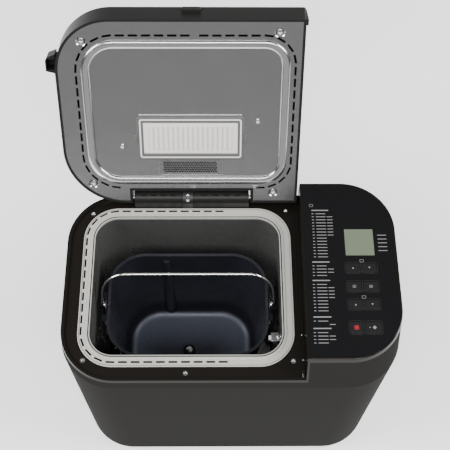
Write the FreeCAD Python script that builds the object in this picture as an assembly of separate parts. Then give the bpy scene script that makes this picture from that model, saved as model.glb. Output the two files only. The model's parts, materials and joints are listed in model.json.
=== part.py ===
import FreeCAD, Part
import math
import os

# A wide-format bread machine with its lid standing open and the baking pan in place.
# Lengths are in millimetres. X runs to the right, Y to the back and Z up. The model is drawn about
# the bottom centre of the casing and moved at the end, so that the origin is the bottom centre
# of the whole machine's box.

V = FreeCAD.Vector

# ---- driving sizes -------------------------------------------------------------------------
body_width = 408.0
body_depth = 252.0
case_height = 311.5
panel_height = 355.0
deck_height = 320.5
lip_height = 323.0
lip_seat = 319.5
cap_seat = 349.5
panel_width = 116.0
corner_radius = 66.0
wall = 2.5
fit_gap = 0.3
running_gap = 0.05
foot_height = 5.0
foot_radius = 9.0
foot_inset_x = 62.0
foot_inset_y = 41.3
tray_height = 15.0
tray_edge_radius = 7.0
gland_inset = 78.0
gland_z = 46.0
gland_radius = 8.0
lead_radius = 3.6

shoulder_front = 20.5
shoulder_side = 1.5
shoulder_back = 0.5
panel_rim_radius = 1.2
tongue_depth = 6.0
deck_lip = 3.5
deck_thickness = 3.0
deck_ledge = 8.0
ledge_right_radius = 38.0

ring_margin_left = 20.3
ring_margin_right = 11.1
ring_margin_front = 22.7
ring_margin_back = 18.5
ring_band = 13.4
ring_thickness = 0.8
ring_ridge_height = 1.7
ring_ridge_width = 3.2
ring_lip_depth = 4.5
ring_corner = 43.0
ring_slot_length = 10.6
ring_slot_width = 2.4
ring_slot_inset = 4.0
ring_slot_inset_front = 6.0
ring_slots_right = 3
slot_pitch = 14.85

chamber_floor = 72.0
chamber_sheet = 1.0
chamber_flange = 7.0
heater_radius = 3.2
heater_z = 90.0
heater_end_half = 14.0
sensor_inset_y = 48.6
sensor_z = 285.0

pan_gap_x = 15.9
pan_gap_y = 22.9
pan_shift_y = -3.6
pan_rim_height = 265.0
pan_floor = 97.0
pan_wall = 1.5
pan_taper = 9.0
pan_corner = 45.0
pan_floor_corner = 52.0
pan_bottom_radius = 17.5
pan_rim_width = 2.6
pan_rib_radius = 10.0
pan_rib_top_radius = 5.5
pan_rib_shift = 30.0
pan_base_radius = 38.0
shaft_shift_x = -2.0
shaft_shift_y = -13.0
seal_radius = 8.9
blade_shaft_radius = 4.0
blade_height = 34.0
blade_reach = 35.0
ear_half = 28.0
ear_thickness = 1.4
rivet_drop = 22.0
pivot_height = 264.5
pivot_out = 6.4
handle_radius = 2.0
handle_arm = 52.0
handle_lean = 24.0
handle_corner = 32.0
handle_narrowing = 6.0

lid_height = 360.0
lid_underside = 324.5
lid_wall = 3.0
lid_side_gap = 3.0
lid_front_inset = 4.5
lid_back_inset = 5.5
lid_flare_front = 3.0
lid_flare_right = 2.4
lid_front_corner = 66.0
lid_back_corner = 75.0
lid_right_corner = 3.5
lid_edge_radius = 3.0
plate_recess = 0.8
plate_thickness = 0.8
bead_height = 2.7
bead_width = 10.8
bead_margin_left = 29.5
bead_margin_right = 15.4
bead_margin_front = 25.0
bead_margin_back = 27.7
bead_left_corner = 40.0
bead_right_corner = 31.0
plate_slot_out = 5.6
plate_slot_length = 10.6
plate_slot_width = 2.5
lid_opens_deg = 119.8

hinge_inset = 8.5
hinge_z = 333.5
hinge_pin_radius = 2.5
hinge_cover_radius = 9.3
notch_depth = 18.2
notch_half = 74.5
bracket_half = 6.5
bracket_shift = -5.0
bracket_screw_turns = (18, 52)

bin_shift_x = 11.5
bin_front_inset = 114.5
bin_length = 118.0
bin_depth = 46.0
bin_wall = 1.5
flap_rib_count = 17
flap_rib_inset = 6.6
cover_margin = 4.0
mesh_half = 37.5
mesh_gap = 7.2
mesh_depth = 19.0
mesh_pitch = 3.0

fascia_thickness = 1.2
fascia_inset_front = 3.0
fascia_inset_side = 3.5
key_travel = 0.6
key_flange = 1.2
key_rows = (2.6, 14.8, -21.7, -9.3, -44.6, -32.4, -74.5, -60.0)
lcd_shift = 51.5
lcd_front = 25.0
lcd_length = 35.5
lcd_depth = 36.0

pulley_radius = 45.0
motor_pulley_radius = 10.0
belt_thickness = 2.4
belt_width = 8.0
belt_height = 29.5
motor_inset = 66.0
motor_y = -6.0
motor_radius = 31.0
motor_height = 52.0
motor_shaft_radius = 3.0
shaft_radius = 5.0
bearing_radius = 11.0
chassis_height = 42.0
chassis_thickness = 2.0
chassis_half_y = 42.0

# ---- sizes that follow from them --------------------------------------------------------------
left_side = -body_width / 2
right_side = body_width / 2
front_side = -body_depth / 2
back_side = body_depth / 2
step_x = right_side - panel_width
roof_low = panel_height - wall - 0.5
slope = shoulder_front / (panel_height - case_height)
foot_spots = [
    (side_x * (right_side - foot_inset_x), side_y * (back_side - foot_inset_y))
    for side_x in (-1, 1) for side_y in (-1, 1)
]
gland_x = right_side - gland_inset
ring_left = left_side + ring_margin_left
ring_right = step_x - ring_margin_right
ring_front = front_side + ring_margin_front
ring_back = back_side - ring_margin_back
ring_x = (ring_left + ring_right) / 2
ring_y = (ring_front + ring_back) / 2
mouth_x = (ring_right - ring_left) / 2 - ring_band
mouth_y = (ring_back - ring_front) / 2 - ring_band
mouth_corner = ring_corner - ring_band
chamber_x = mouth_x + 2 * chamber_sheet + 0.2
chamber_y = mouth_y + 2 * chamber_sheet + 0.2
chamber_corner = mouth_corner + 2 * chamber_sheet + 0.2
pan_x = ring_x
pan_y = ring_y + pan_shift_y
pan_half_x = mouth_x - pan_gap_x
pan_half_y = mouth_y - pan_gap_y
shaft_x = pan_x + shaft_shift_x
shaft_y = pan_y + shaft_shift_y
heater_ends = (ring_y - heater_end_half, ring_y + heater_end_half)
heater_half_x = (chamber_x + pan_half_x) / 2
heater_half_y = (chamber_y + pan_half_y) / 2 + 1.0
sensor_y = ring_front + sensor_inset_y
ear_wall = pan_half_x + 0.05
ear_inner = pan_half_x + pan_rim_width + 0.4
pivot_x = pan_half_x + pan_rim_width + pivot_out
coupler_top = pan_floor - pan_wall - 6.5
coupler_low = coupler_top - 7.0
coupling_low = chamber_floor + chamber_sheet + 2.5
deck_left = left_side + deck_lip + shoulder_side
deck_front = front_side + deck_lip + slope * (lip_height - case_height)
deck_back = back_side - deck_lip - shoulder_back - 2.0
deck_corner = corner_radius - deck_lip - 3.0
deck_radii = (deck_corner, 3.0, 3.0, deck_corner)
deck_inner_radii = (deck_corner - deck_ledge, ledge_right_radius, ledge_right_radius, deck_corner - deck_ledge)
deck_screw_spots = [
    (left_side + 29.0, front_side + 31.0),
    (ring_x, front_side + 15.0),
    (step_x - 14.0, front_side + 29.5),
    (left_side + 30.0, back_side - 26.0),
    (step_x - 16.0, back_side - 22.0),
]
lid_left = left_side
lid_right = step_x - lid_side_gap
lid_front = front_side + lid_front_inset
lid_back = back_side - lid_back_inset
lid_radii = (lid_front_corner, lid_right_corner, lid_right_corner, lid_back_corner)
plate_z = lid_underside + plate_recess
bead_left = lid_left + bead_margin_left
bead_right = lid_right - bead_margin_right
bead_front = lid_front + bead_margin_front
bead_back = lid_back - bead_margin_back
bead_radii = (bead_left_corner, bead_right_corner, bead_right_corner, bead_left_corner)
lid_screw_spots = [
    (lid_left + 33.0, lid_front + 26.8),
    (lid_right - 29.5, lid_front + 16.1),
    (lid_left + 33.4, lid_back - 27.7),
    (lid_right - 30.3, lid_back - 15.0),
]
bin_centre_x = (lid_left + lid_right) / 2 + bin_shift_x
bin_left = bin_centre_x - bin_length / 2
bin_right = bin_centre_x + bin_length / 2
bin_front = lid_back - bin_front_inset
bin_back = bin_front + bin_depth
lid_small_spots = [(bead_left + 43.0, bin_back - 12.0), (bead_right - 36.5, bin_front)]
flap_axis_y = bin_back - bin_wall - 2.3
flap_axis_z = plate_z + 1.5
cover_axis_y = bin_back + 3.0
cover_axis_z = lid_height - 1.4
cover_left = bin_left - cover_margin
cover_right = bin_right + cover_margin
cover_front = bin_front - cover_margin - 1.0
mesh_left = bin_centre_x - mesh_half
mesh_right = bin_centre_x + mesh_half
mesh_front = bin_back + mesh_gap
mesh_back = mesh_front + mesh_depth
grip_left = bin_centre_x - 8.5
grip_right = bin_centre_x + 14.0
vent_front = lid_front + 46.0
vent_back = lid_front + 70.0
grip_face = lid_front - lid_flare_front
hinge_y = back_side - hinge_inset
notch_left = bin_centre_x - notch_half
notch_right = bin_centre_x + notch_half
notch_front = lid_back - notch_depth
bracket_x = (notch_left + notch_right) / 2 + bracket_shift
pin_ends = (notch_left - 14.0, notch_right + 14.0)
motor_x = right_side - motor_inset
motor_screw_spots = [
    (motor_x + side_x * (motor_radius + 3.0), motor_y + side_y * (motor_radius - 9.0))
    for side_x in (-1, 1) for side_y in (-1, 1)
]
chassis_left = ring_x - mouth_x + 20.0
chassis_right = motor_x + motor_radius + 10.0
chassis_posts = [
    (chassis_left + 8.0, shaft_y - chassis_half_y + 8.0),
    (chassis_left + 8.0, shaft_y + chassis_half_y - 8.0),
    (chassis_right - 22.0, shaft_y - chassis_half_y + 2.0),
    (chassis_right - 22.0, shaft_y + chassis_half_y + 2.0),
]
board_top = roof_low - 12.5
switch_top = board_top + 5.0
lcd_left = step_x + lcd_shift
key_columns = (step_x + 51.0, step_x + 67.5, step_x + 70.5, step_x + 87.5)
key_spots = {
    "key_time_up": (key_columns[0], key_columns[1], key_rows[0], key_rows[1]),
    "key_time_down": (key_columns[2], key_columns[3], key_rows[0], key_rows[1]),
    "key_size": (key_columns[0], key_columns[1], key_rows[2], key_rows[3]),
    "key_crust": (key_columns[2], key_columns[3], key_rows[2], key_rows[3]),
    "key_menu_up": (key_columns[0], key_columns[1], key_rows[4], key_rows[5]),
    "key_menu_down": (key_columns[2], key_columns[3], key_rows[4], key_rows[5]),
    "key_stop": (key_columns[0], key_columns[1] - 2.0, key_rows[6], key_rows[7]),
    "key_start": (key_columns[2] - 1.5, key_columns[3], key_rows[6], key_rows[7]),
}

parts = {}


# ---- shapes used all over ---------------------------------------------------------------------
def box(x0, x1, y0, y1, z0, z1):
    return Part.makeBox(x1 - x0, y1 - y0, z1 - z0, V(x0, y0, z0))


def rod(radius, start, end):
    """A round bar from one point to another."""
    along = V(*end) - V(*start)
    return Part.makeCylinder(radius, along.Length, V(*start), along)


def post(radius, x, y, z0, z1):
    """An upright round bar."""
    return Part.makeCylinder(radius, z1 - z0, V(x, y, z0))


def outline(x0, x1, y0, y1, z, radii):
    """A rectangle with rounded corners: front left, front right, back right, back left."""
    if not isinstance(radii, tuple):
        radii = (radii,) * 4
    most = min(x1 - x0, y1 - y0) / 2 - 0.01
    corners = ((x0, y0, 180), (x1, y0, 270), (x1, y1, 0), (x0, y1, 90))
    points = []
    arcs = []
    for (x, y, start), radius in zip(corners, radii):
        radius = min(radius, most)
        cx = x + radius if x == x0 else x - radius
        cy = y + radius if y == y0 else y - radius
        ends = []
        for step in (0, 45, 90):
            turn = math.radians(start + step)
            ends.append(V(cx + radius * math.cos(turn), cy + radius * math.sin(turn), z))
        arcs.append(Part.Arc(*ends).toShape())
        points.append((ends[0], ends[2]))
    edges = []
    for i in range(4):
        edges.append(arcs[i])
        here = points[i][1]
        there = points[(i + 1) % 4][0]
        if (here - there).Length > 0.01:
            edges.append(Part.LineSegment(here, there).toShape())
    return Part.Wire(edges)


def slab(x0, x1, y0, y1, z0, z1, radii):
    """A plate or block with rounded upright corners."""
    return Part.Face(outline(x0, x1, y0, y1, z0, radii)).extrude(V(0, 0, z1 - z0))


def centred_slab(cx, cy, half_x, half_y, z0, z1, radii):
    return slab(cx - half_x, cx + half_x, cy - half_y, cy + half_y, z0, z1, radii)


def loft(lower, upper):
    return Part.makeLoft([lower, upper], True, True)


def fuse_all(shapes):
    result = shapes[0]
    if len(shapes) > 1:
        result = result.multiFuse(shapes[1:])
    return result.removeSplitter()


def cut_all(shape, tools):
    return shape.cut(Part.makeCompound(tools))


def edges_at(shape, z, tolerance=0.01):
    """The edges that lie wholly at one height."""
    found = []
    for edge in shape.Edges:
        bounds = edge.BoundBox
        if abs(bounds.ZMin - z) < tolerance and abs(bounds.ZMax - z) < tolerance:
            found.append(edge)
    return found


def round_at(shape, z, radius):
    """Round the edges at one height."""
    return shape.makeFillet(radius, edges_at(shape, z))


def walk(x0, x1, y0, y1, radii):
    """Legs of a rounded rectangle's path, clockwise from the middle of the front side.

    Each leg is (length, function of the distance along it giving x, y and the heading). The radii are
    for the front left, front right, back right and back left corners.
    """
    def line(ax, ay, heading):
        return lambda s: (ax + s * math.cos(heading), ay + s * math.sin(heading), heading)

    def bend(cx, cy, start, radius):
        def at(s):
            turn = start - s / radius
            return (cx + radius * math.cos(turn), cy + radius * math.sin(turn), turn - math.pi / 2)
        return at

    middle = (x0 + x1) / 2
    front_left, front_right, back_right, back_left = radii
    quarter = math.pi / 2
    return [
        (middle - x0 - front_left, line(middle, y0, math.pi)),
        (front_left * quarter, bend(x0 + front_left, y0 + front_left, -quarter, front_left)),
        (y1 - y0 - front_left - back_left, line(x0, y0 + front_left, quarter)),
        (back_left * quarter, bend(x0 + back_left, y1 - back_left, math.pi, back_left)),
        (x1 - x0 - back_left - back_right, line(x0 + back_left, y1, 0.0)),
        (back_right * quarter, bend(x1 - back_right, y1 - back_right, quarter, back_right)),
        (y1 - y0 - back_right - front_right, line(x1, y1 - back_right, -quarter)),
        (front_right * quarter, bend(x1 - front_right, y0 + front_right, 0.0, front_right)),
        (x1 - front_right - middle, line(x1 - front_right, y0, math.pi)),
    ]


def slot_row(legs, first, last, pitch, length, width, z0, z1):
    """Cutters for a row of slots along a path, from one distance to another."""
    tools = []
    for i in range(int((last - first) / pitch) + 1):
        s = first + i * pitch
        for leg_length, at in legs:
            if s <= leg_length:
                break
            s -= leg_length
        x, y, heading = at(s)
        cutter = box(-length / 2, length / 2, -width / 2, width / 2, z0, z1)
        cutter.rotate(V(0, 0, 0), V(0, 0, 1), math.degrees(heading))
        cutter.translate(V(x, y, 0))
        tools.append(cutter)
    return tools


def screw(x, y, z, head_radius, head_height, shank_radius, shank_length):
    """A screw driven down, its head resting at height z, with a cross recess."""
    body = post(head_radius, x, y, z, z + head_height)
    body = body.fuse(post(shank_radius, x, y, z - shank_length, z))
    arm = head_radius * 0.6
    blade = head_radius * 0.16
    recess = z + head_height * 0.4
    cross = [
        box(x - arm, x + arm, y - blade, y + blade, recess, z + head_height + 1),
        box(x - blade, x + blade, y - arm, y + arm, recess, z + head_height + 1),
    ]
    return cut_all(body, cross)


def flipped(shape, y, z):
    """Turn a shape upside down about a line along X."""
    turned = shape.copy()
    turned.rotate(V(0, y, z), V(1, 0, 0), 180)
    return turned


# ---- casing -----------------------------------------------------------------------------------
def make_feet():
    feet = []
    for x, y in foot_spots:
        foot = Part.makeCone(foot_radius * 0.86, foot_radius, foot_height, V(x, y, 0))
        stem = post(3.0, x, y, foot_height, foot_height + wall + 2.0)
        feet.append(foot.fuse(stem).removeSplitter())
    return Part.makeCompound(feet)


def make_base_tray():
    outer = slab(left_side, right_side, front_side, back_side, foot_height, tray_height, corner_radius)
    outer = round_at(outer, foot_height, tray_edge_radius)
    pocket = slab(left_side + wall + 4, right_side - wall - 4, front_side + wall + 4, back_side - wall - 4,
                  foot_height + wall, tray_height + 20, corner_radius - wall - 4)
    tongue_outer = wall + fit_gap
    tongue = slab(left_side + tongue_outer, right_side - tongue_outer, front_side + tongue_outer,
                  back_side - tongue_outer, tray_height - 1, tray_height + 6, corner_radius - tongue_outer)
    tray = fuse_all([outer, tongue]).cut(pocket)
    tools = []
    for x, y in foot_spots:
        tools.append(post(3.1, x, y, 0, foot_height + wall + 5))
    vent_x = motor_x - 33
    for i in range(9):
        x = vent_x + i * 8
        tools.append(slab(x, x + 3.5, front_side + 75, front_side + 125, 0, tray_height, 1.7))
    return cut_all(tray, tools)


def shoulder(inset, low, high):
    """The sloping upper casing as a solid, set in all round and cut at two heights."""
    lower = outline(left_side + inset, right_side - inset, front_side + inset, back_side - inset,
                    low, corner_radius - inset)
    upper = outline(left_side + shoulder_side + inset, right_side - shoulder_side - inset,
                    front_side + shoulder_front + inset, back_side - shoulder_back - inset,
                    high, corner_radius - shoulder_side - inset)
    return loft(lower, upper)


def above_case(shape):
    """The part of a shape above the outer case: over the deck's seat on the left, the panel's on the right."""
    deck_side = box(left_side - 5, step_x, front_side - 5, back_side + 5, lip_seat, lip_height)
    panel_side = box(step_x, right_side + 5, front_side - 5, back_side + 5, cap_seat, panel_height + 5)
    corner = box(step_x, step_x + wall, front_side - 5, back_side + 5, lip_seat, cap_seat)
    return shape.common(fuse_all([deck_side, panel_side, corner]))


def make_outer_case():
    """The side wall, with a sloping front that rises higher beside the panel."""
    lower = slab(left_side, right_side, front_side, back_side, tray_height, case_height, corner_radius)
    upper = shoulder(0, case_height, panel_height)
    room = slab(left_side + wall, right_side - wall, front_side + wall, back_side - wall,
                tray_height - 1, case_height, corner_radius - wall)
    case = fuse_all([lower.cut(room), upper.cut(shoulder(wall, case_height, panel_height))])
    case = case.cut(box(left_side - 5, step_x + wall, front_side - 5, back_side + 5, lip_seat, panel_height + 5))
    case = case.cut(box(step_x, right_side + 5, front_side - 5, back_side + 5, cap_seat, panel_height + 5))
    tools = [rod(gland_radius + fit_gap / 3, (gland_x, back_side - 10, gland_z), (gland_x, back_side + 10, gland_z))]
    for i in range(10):
        z = 70 + i * 9
        tools.append(box(step_x - 12, step_x + 38, back_side - 10, back_side + 10, z, z + 4))
    return cut_all(case, tools)


def make_cord_gland():
    """The bush that a mains lead would enter by. Its bore is for a lead of about 7 mm."""
    flange = rod(gland_radius + 2.5, (gland_x, back_side, gland_z), (gland_x, back_side + 2, gland_z))
    neck = rod(gland_radius, (gland_x, back_side - wall - 6, gland_z), (gland_x, back_side, gland_z))
    nut = rod(gland_radius + 3, (gland_x, back_side - wall - 6, gland_z), (gland_x, back_side - wall, gland_z))
    bore = rod(lead_radius, (gland_x, back_side - 20, gland_z), (gland_x, back_side + 10, gland_z))
    return fuse_all([flange, neck, nut]).cut(bore)


def make_top_housing():
    """The dark top: the panel's cap, the step down to the deck, and the lip and ledge round the deck."""
    inset = wall + fit_gap / 3
    inner = shoulder(inset, case_height, panel_height)
    inner = inner.cut(box(left_side, step_x, front_side, back_side, lip_seat + 1, panel_height + 5))
    outer = round_at(shoulder(0, case_height, panel_height), panel_height, panel_rim_radius)
    housing = fuse_all([inner, above_case(outer)])
    ledge_height = deck_height - deck_thickness
    deck_room = slab(deck_left, step_x, deck_front, deck_back, ledge_height, panel_height, deck_radii)
    below = slab(deck_left + deck_ledge, step_x - deck_ledge, deck_front + deck_ledge, deck_back - deck_ledge,
                 case_height - 1, ledge_height + 1, deck_inner_radii)
    beside = box(step_x + wall, right_side, front_side, back_side, case_height - 1, roof_low)
    hollow = shoulder(inset + 1.8, case_height - 0.001, panel_height).common(beside)
    under = box(step_x + wall, right_side, front_side, back_side, case_height - 1, cap_seat - tongue_depth)
    tools = [deck_room, below, hollow, under]
    tools.append(fascia_slab(0.0, panel_height - fascia_thickness, panel_height + 3))
    for x0, x1, y0, y1 in key_spots.values():
        tools.append(box(x0 - fit_gap, x1 + fit_gap, y0 - fit_gap, y1 + fit_gap, panel_height - 10, panel_height))
    tools.append(box(lcd_left, lcd_left + lcd_length, lcd_front, lcd_front + lcd_depth, panel_height - 10, panel_height))
    for x, y in deck_screw_spots:
        tools.append(post(1.6, x, y, case_height, deck_height))
    return cut_all(housing, tools)


def make_deck_plate():
    gap = fit_gap / 2
    plate = slab(deck_left + gap, step_x - gap, deck_front + gap, deck_back - gap,
                 deck_height - deck_thickness, deck_height, deck_radii)
    tools = [centred_slab(ring_x, ring_y, chamber_x + 1, chamber_y + 1, 0, panel_height, chamber_corner + 1)]
    for x, y in deck_screw_spots:
        tools.append(post(1.6, x, y, 0, panel_height))
        tools.append(post(3.6, x, y, deck_height - 1.6, panel_height))
    return cut_all(plate, tools)


def make_housing_screws():
    screws = []
    for x, y in deck_screw_spots:
        screws.append(screw(x, y, deck_height - 1.6, 3.2, 1.9, 1.5, 6))
    for turn in bracket_screw_turns:
        fastener = screw(0, 0, hinge_cover_radius - 1, 2.5, 1.9, 1.3, 3.5)
        fastener.rotate(V(0, 0, 0), V(1, 0, 0), turn)
        fastener.translate(V(bracket_x, hinge_y, hinge_z))
        screws.append(fastener)
    return Part.makeCompound(screws)


# ---- chamber ----------------------------------------------------------------------------------
def make_chamber_ring():
    half_x = mouth_x + ring_band
    half_y = mouth_y + ring_band
    top = deck_height + ring_thickness
    ridge_top = deck_height + ring_ridge_height
    flange = centred_slab(ring_x, ring_y, half_x, half_y, deck_height, top, ring_corner)
    flange = round_at(flange, top, 0.5)
    grow = chamber_sheet
    ridge = centred_slab(ring_x, ring_y, mouth_x + grow + ring_ridge_width, mouth_y + grow + ring_ridge_width,
                         deck_height, ridge_top, mouth_corner + grow + ring_ridge_width)
    ridge = round_at(ridge, ridge_top, 0.5)
    lip = centred_slab(ring_x, ring_y, mouth_x + grow, mouth_y + grow, deck_height - ring_lip_depth,
                       deck_height + 0.5, mouth_corner + grow)
    mouth = centred_slab(ring_x, ring_y, mouth_x, mouth_y, deck_height - 20, deck_height + 20, mouth_corner)
    ring = fuse_all([flange, ridge, lip]).cut(mouth)
    inset = ring_slot_inset
    row_y = ring_front + ring_slot_inset_front
    bend = ring_corner - inset
    legs = walk(ring_left + inset, ring_right - inset, row_y, ring_back - inset, (bend,) * 4)
    back_middle = sum(leg[0] for leg in legs[:4]) + ring_x - ring_left - ring_corner
    slots = slot_row(legs, 0, back_middle + ring_slots_right * slot_pitch, slot_pitch,
                     ring_slot_length, ring_slot_width, deck_height - 1, deck_height + 5)
    for i in range(1, ring_slots_right + 1):
        x = ring_x + i * slot_pitch
        slots.append(box(x - ring_slot_length / 2, x + ring_slot_length / 2, row_y - ring_slot_width / 2,
                         row_y + ring_slot_width / 2, deck_height - 1, deck_height + 5))
    return cut_all(ring, slots)


def make_oven_chamber():
    top = deck_height - deck_thickness
    outer = centred_slab(ring_x, ring_y, chamber_x, chamber_y, chamber_floor, top, chamber_corner)
    outer = round_at(outer, chamber_floor, 4.0)
    flange = centred_slab(ring_x, ring_y, chamber_x + chamber_flange, chamber_y + chamber_flange,
                          top - 1, top, chamber_corner + chamber_flange)
    inner_x = chamber_x - chamber_sheet
    inner_y = chamber_y - chamber_sheet
    inner = centred_slab(ring_x, ring_y, inner_x, inner_y, chamber_floor + chamber_sheet, top + 10,
                         chamber_corner - chamber_sheet)
    inner = round_at(inner, chamber_floor + chamber_sheet, 3.0)
    shell = fuse_all([outer, flange]).cut(inner)
    tools = [post(bearing_radius + 0.2, shaft_x, shaft_y, chamber_floor - 5, chamber_floor + 5)]
    for y in heater_ends:
        tools.append(rod(heater_radius + 0.3, (ring_x, y, heater_z), (ring_x + chamber_x + 5, y, heater_z)))
    tools.append(rod(2.2, (ring_x, sensor_y, sensor_z), (ring_x + chamber_x + 5, sensor_y, sensor_z)))
    return cut_all(shell, tools)


def make_heater():
    """A bent tubular element round the pan, both ends out through the chamber's right wall."""
    x0 = ring_x - heater_half_x
    x1 = ring_x + heater_half_x
    y0 = ring_y - heater_half_y
    y1 = ring_y + heater_half_y
    out_x = ring_x + chamber_x + 14
    route = [(out_x, heater_ends[0]), (x1, heater_ends[0]), (x1, y0), (x0, y0), (x0, y1), (x1, y1),
             (x1, heater_ends[1]), (out_x, heater_ends[1])]
    return bent_bar([V(x, y, heater_z) for x, y in route], [9, 30, 30, 30, 30, 9], heater_radius)


def bent_bar(points, radii, radius):
    """A round bar along straight runs joined by tangent arcs."""
    edges = []
    here = points[0]
    for i in range(1, len(points) - 1):
        back = (points[i - 1] - points[i]).normalize()
        ahead = (points[i + 1] - points[i]).normalize()
        bend = radii[i - 1]
        half = back.getAngle(ahead) / 2
        reach = bend / math.tan(half)
        start = points[i] + back * reach
        end = points[i] + ahead * reach
        inward = (back + ahead).normalize()
        middle = points[i] + inward * (bend / math.sin(half) - bend)
        edges.append(Part.LineSegment(here, start).toShape())
        edges.append(Part.Arc(start, middle, end).toShape())
        here = end
    edges.append(Part.LineSegment(here, points[-1]).toShape())
    path = Part.Wire(edges)
    direction = points[1] - points[0]
    profile = Part.Wire([Part.makeCircle(radius, points[0], direction)])
    return path.makePipeShell([profile], True, True)


def make_heater_clips():
    """Saddles that hold the element to the chamber's floor."""
    clips = []
    floor = chamber_floor + chamber_sheet
    inner = heater_radius + fit_gap / 3
    spots = (
        (ring_x, ring_y - heater_half_y, 0),
        (ring_x, ring_y + heater_half_y, 0),
        (ring_x - heater_half_x, ring_y, 90),
    )
    for x, y, turn in spots:
        clip = box(-5, 5, -inner - 1.2, inner + 1.2, floor, heater_z)
        clip = clip.fuse(rod(inner + 1.2, (-5, 0, heater_z), (5, 0, heater_z)))
        clip = clip.cut(rod(inner, (-6, 0, heater_z), (6, 0, heater_z)))
        clip = clip.cut(box(-6, 6, -inner, inner, floor + 1, heater_z))
        clip.rotate(V(0, 0, 0), V(0, 0, 1), turn)
        clip.translate(V(x, y, 0))
        clips.append(clip)
    return Part.makeCompound(clips)


def make_temperature_sensor():
    """A probe on a small bracket inside the chamber's right wall."""
    face = ring_x + chamber_x - chamber_sheet
    plate = box(face - 1, face, sensor_y - 5, sensor_y + 5, sensor_z - 34, sensor_z + 9)
    arm = box(face - 6, face - 1, sensor_y - 3, sensor_y + 3, sensor_z - 3, sensor_z - 1.5)
    probe = post(3.0, face - 4.5, sensor_y, sensor_z - 1.5, sensor_z + 7)
    probe = round_at(probe, sensor_z + 7, 1.2)
    lead = rod(2.0, (face - 1, sensor_y, sensor_z), (face + 8, sensor_y, sensor_z))
    return fuse_all([plate, arm, probe, lead])


def make_pan_seat():
    """The socket ring on the chamber's floor that the pan's base stands in."""
    floor = chamber_floor + chamber_sheet
    inner = pan_base_radius + fit_gap
    ring = post(inner + 3, shaft_x, shaft_y, floor, floor + 14)
    ring = ring.fuse(post(inner + 9, shaft_x, shaft_y, floor, floor + 2))
    tools = [post(inner, shaft_x, shaft_y, floor + 2, floor + 20), post(bearing_radius + 3, shaft_x, shaft_y, 0, 200)]
    for turn in range(0, 360, 90):
        gap = box(inner - 2, inner + 5, -7, 7, floor + 5, floor + 20)
        gap.rotate(V(0, 0, 0), V(0, 0, 1), turn + 45)
        gap.translate(V(shaft_x, shaft_y, 0))
        tools.append(gap)
    return cut_all(ring, tools)


# ---- pan --------------------------------------------------------------------------------------
def pan_form(inset, low, bottom_radius):
    """The pan's tapering form, set in by a wall's thickness."""
    upper = outline(pan_x - pan_half_x + inset, pan_x + pan_half_x - inset, pan_y - pan_half_y + inset,
                    pan_y + pan_half_y - inset, pan_rim_height, pan_corner - inset)
    low_x = pan_half_x - pan_taper - inset
    low_y = pan_half_y - pan_taper - inset
    lower = outline(pan_x - low_x, pan_x + low_x, pan_y - low_y, pan_y + low_y, low, pan_floor_corner - inset)
    return round_at(loft(lower, upper), low, bottom_radius)


def make_baking_pan():
    outer = pan_form(0, pan_floor - pan_wall, pan_bottom_radius)
    inner = pan_form(pan_wall, pan_floor, pan_bottom_radius - pan_wall)
    rim = centred_slab(pan_x, pan_y, pan_half_x + pan_rim_width, pan_half_y + pan_rim_width,
                       pan_rim_height - 4, pan_rim_height, pan_corner + pan_rim_width)
    rim = rim.makeFillet(1.8, edges_at(rim, pan_rim_height) + edges_at(rim, pan_rim_height - 4))
    rim = rim.cut(centred_slab(pan_x, pan_y, pan_half_x - 1, pan_half_y - 1, 0, 500, pan_corner - 1))
    shell = fuse_all([outer.cut(inner), rim])
    ribs = []
    for side in (-1, 1):
        x = pan_x - side * pan_rib_shift
        y = pan_y + side * (pan_half_y + 1.5)
        rib = Part.makeCone(pan_rib_radius, pan_rib_top_radius, pan_rim_height - 14 - pan_floor + 1,
                            V(x, y - side * pan_taper, pan_floor - 1))
        lean = math.degrees(math.atan2(pan_taper, pan_rim_height - pan_floor))
        rib.rotate(V(x, y - side * pan_taper, pan_floor), V(1, 0, 0), -side * lean)
        ribs.append(rib.common(pan_form(pan_wall / 2, pan_floor - pan_wall / 2, pan_bottom_radius - pan_wall / 2)))
    shell = fuse_all([shell] + ribs)
    return shell.cut(post(seal_radius + 0.1, shaft_x, shaft_y, 0, 200))


def make_pan_ears():
    """Long brackets riveted to the pan's short sides, with a hole for the handle's end."""
    ears = []
    for side in (-1, 1):
        plate = slab(-ear_half, ear_half, pan_rim_height - 34, pan_rim_height - 6, 0, ear_thickness, (3, 3, 9, 9))
        tab = slab(-9, 9, pan_rim_height - 20, pivot_height + 6.5, 0, ear_thickness, (3, 3, 8, 8))
        plate = plate.fuse(tab)
        plate.rotate(V(0, 0, 0), V(1, 0, 0), 90)
        plate.rotate(V(0, 0, 0), V(0, 0, 1), 90)
        plate.translate(V(ear_inner, 0, 0))
        foot = box(ear_wall, ear_inner, -9, 9, pan_rim_height - 32, pan_rim_height - 12)
        shelf = box(ear_inner, ear_inner + 5.0, -ear_half + 8, -11, pan_rim_height - 10, pan_rim_height - 8.6)
        ear = fuse_all([plate, foot, shelf, shelf.mirror(V(0, 0, 0), V(0, 1, 0))])
        ear = ear.cut(rod(handle_radius + running_gap, (0, 0, pivot_height), (200, 0, pivot_height)))
        for y in (-5.5, 5.5):
            z = pan_rim_height - rivet_drop
            ear = ear.cut(rod(1.6, (0, y, z), (200, y, z)))
        if side < 0:
            ear.rotate(V(0, 0, 0), V(0, 0, 1), 180)
        ear.translate(V(pan_x, pan_y, 0))
        ears.append(ear)
    return Part.makeCompound(ears)


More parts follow.
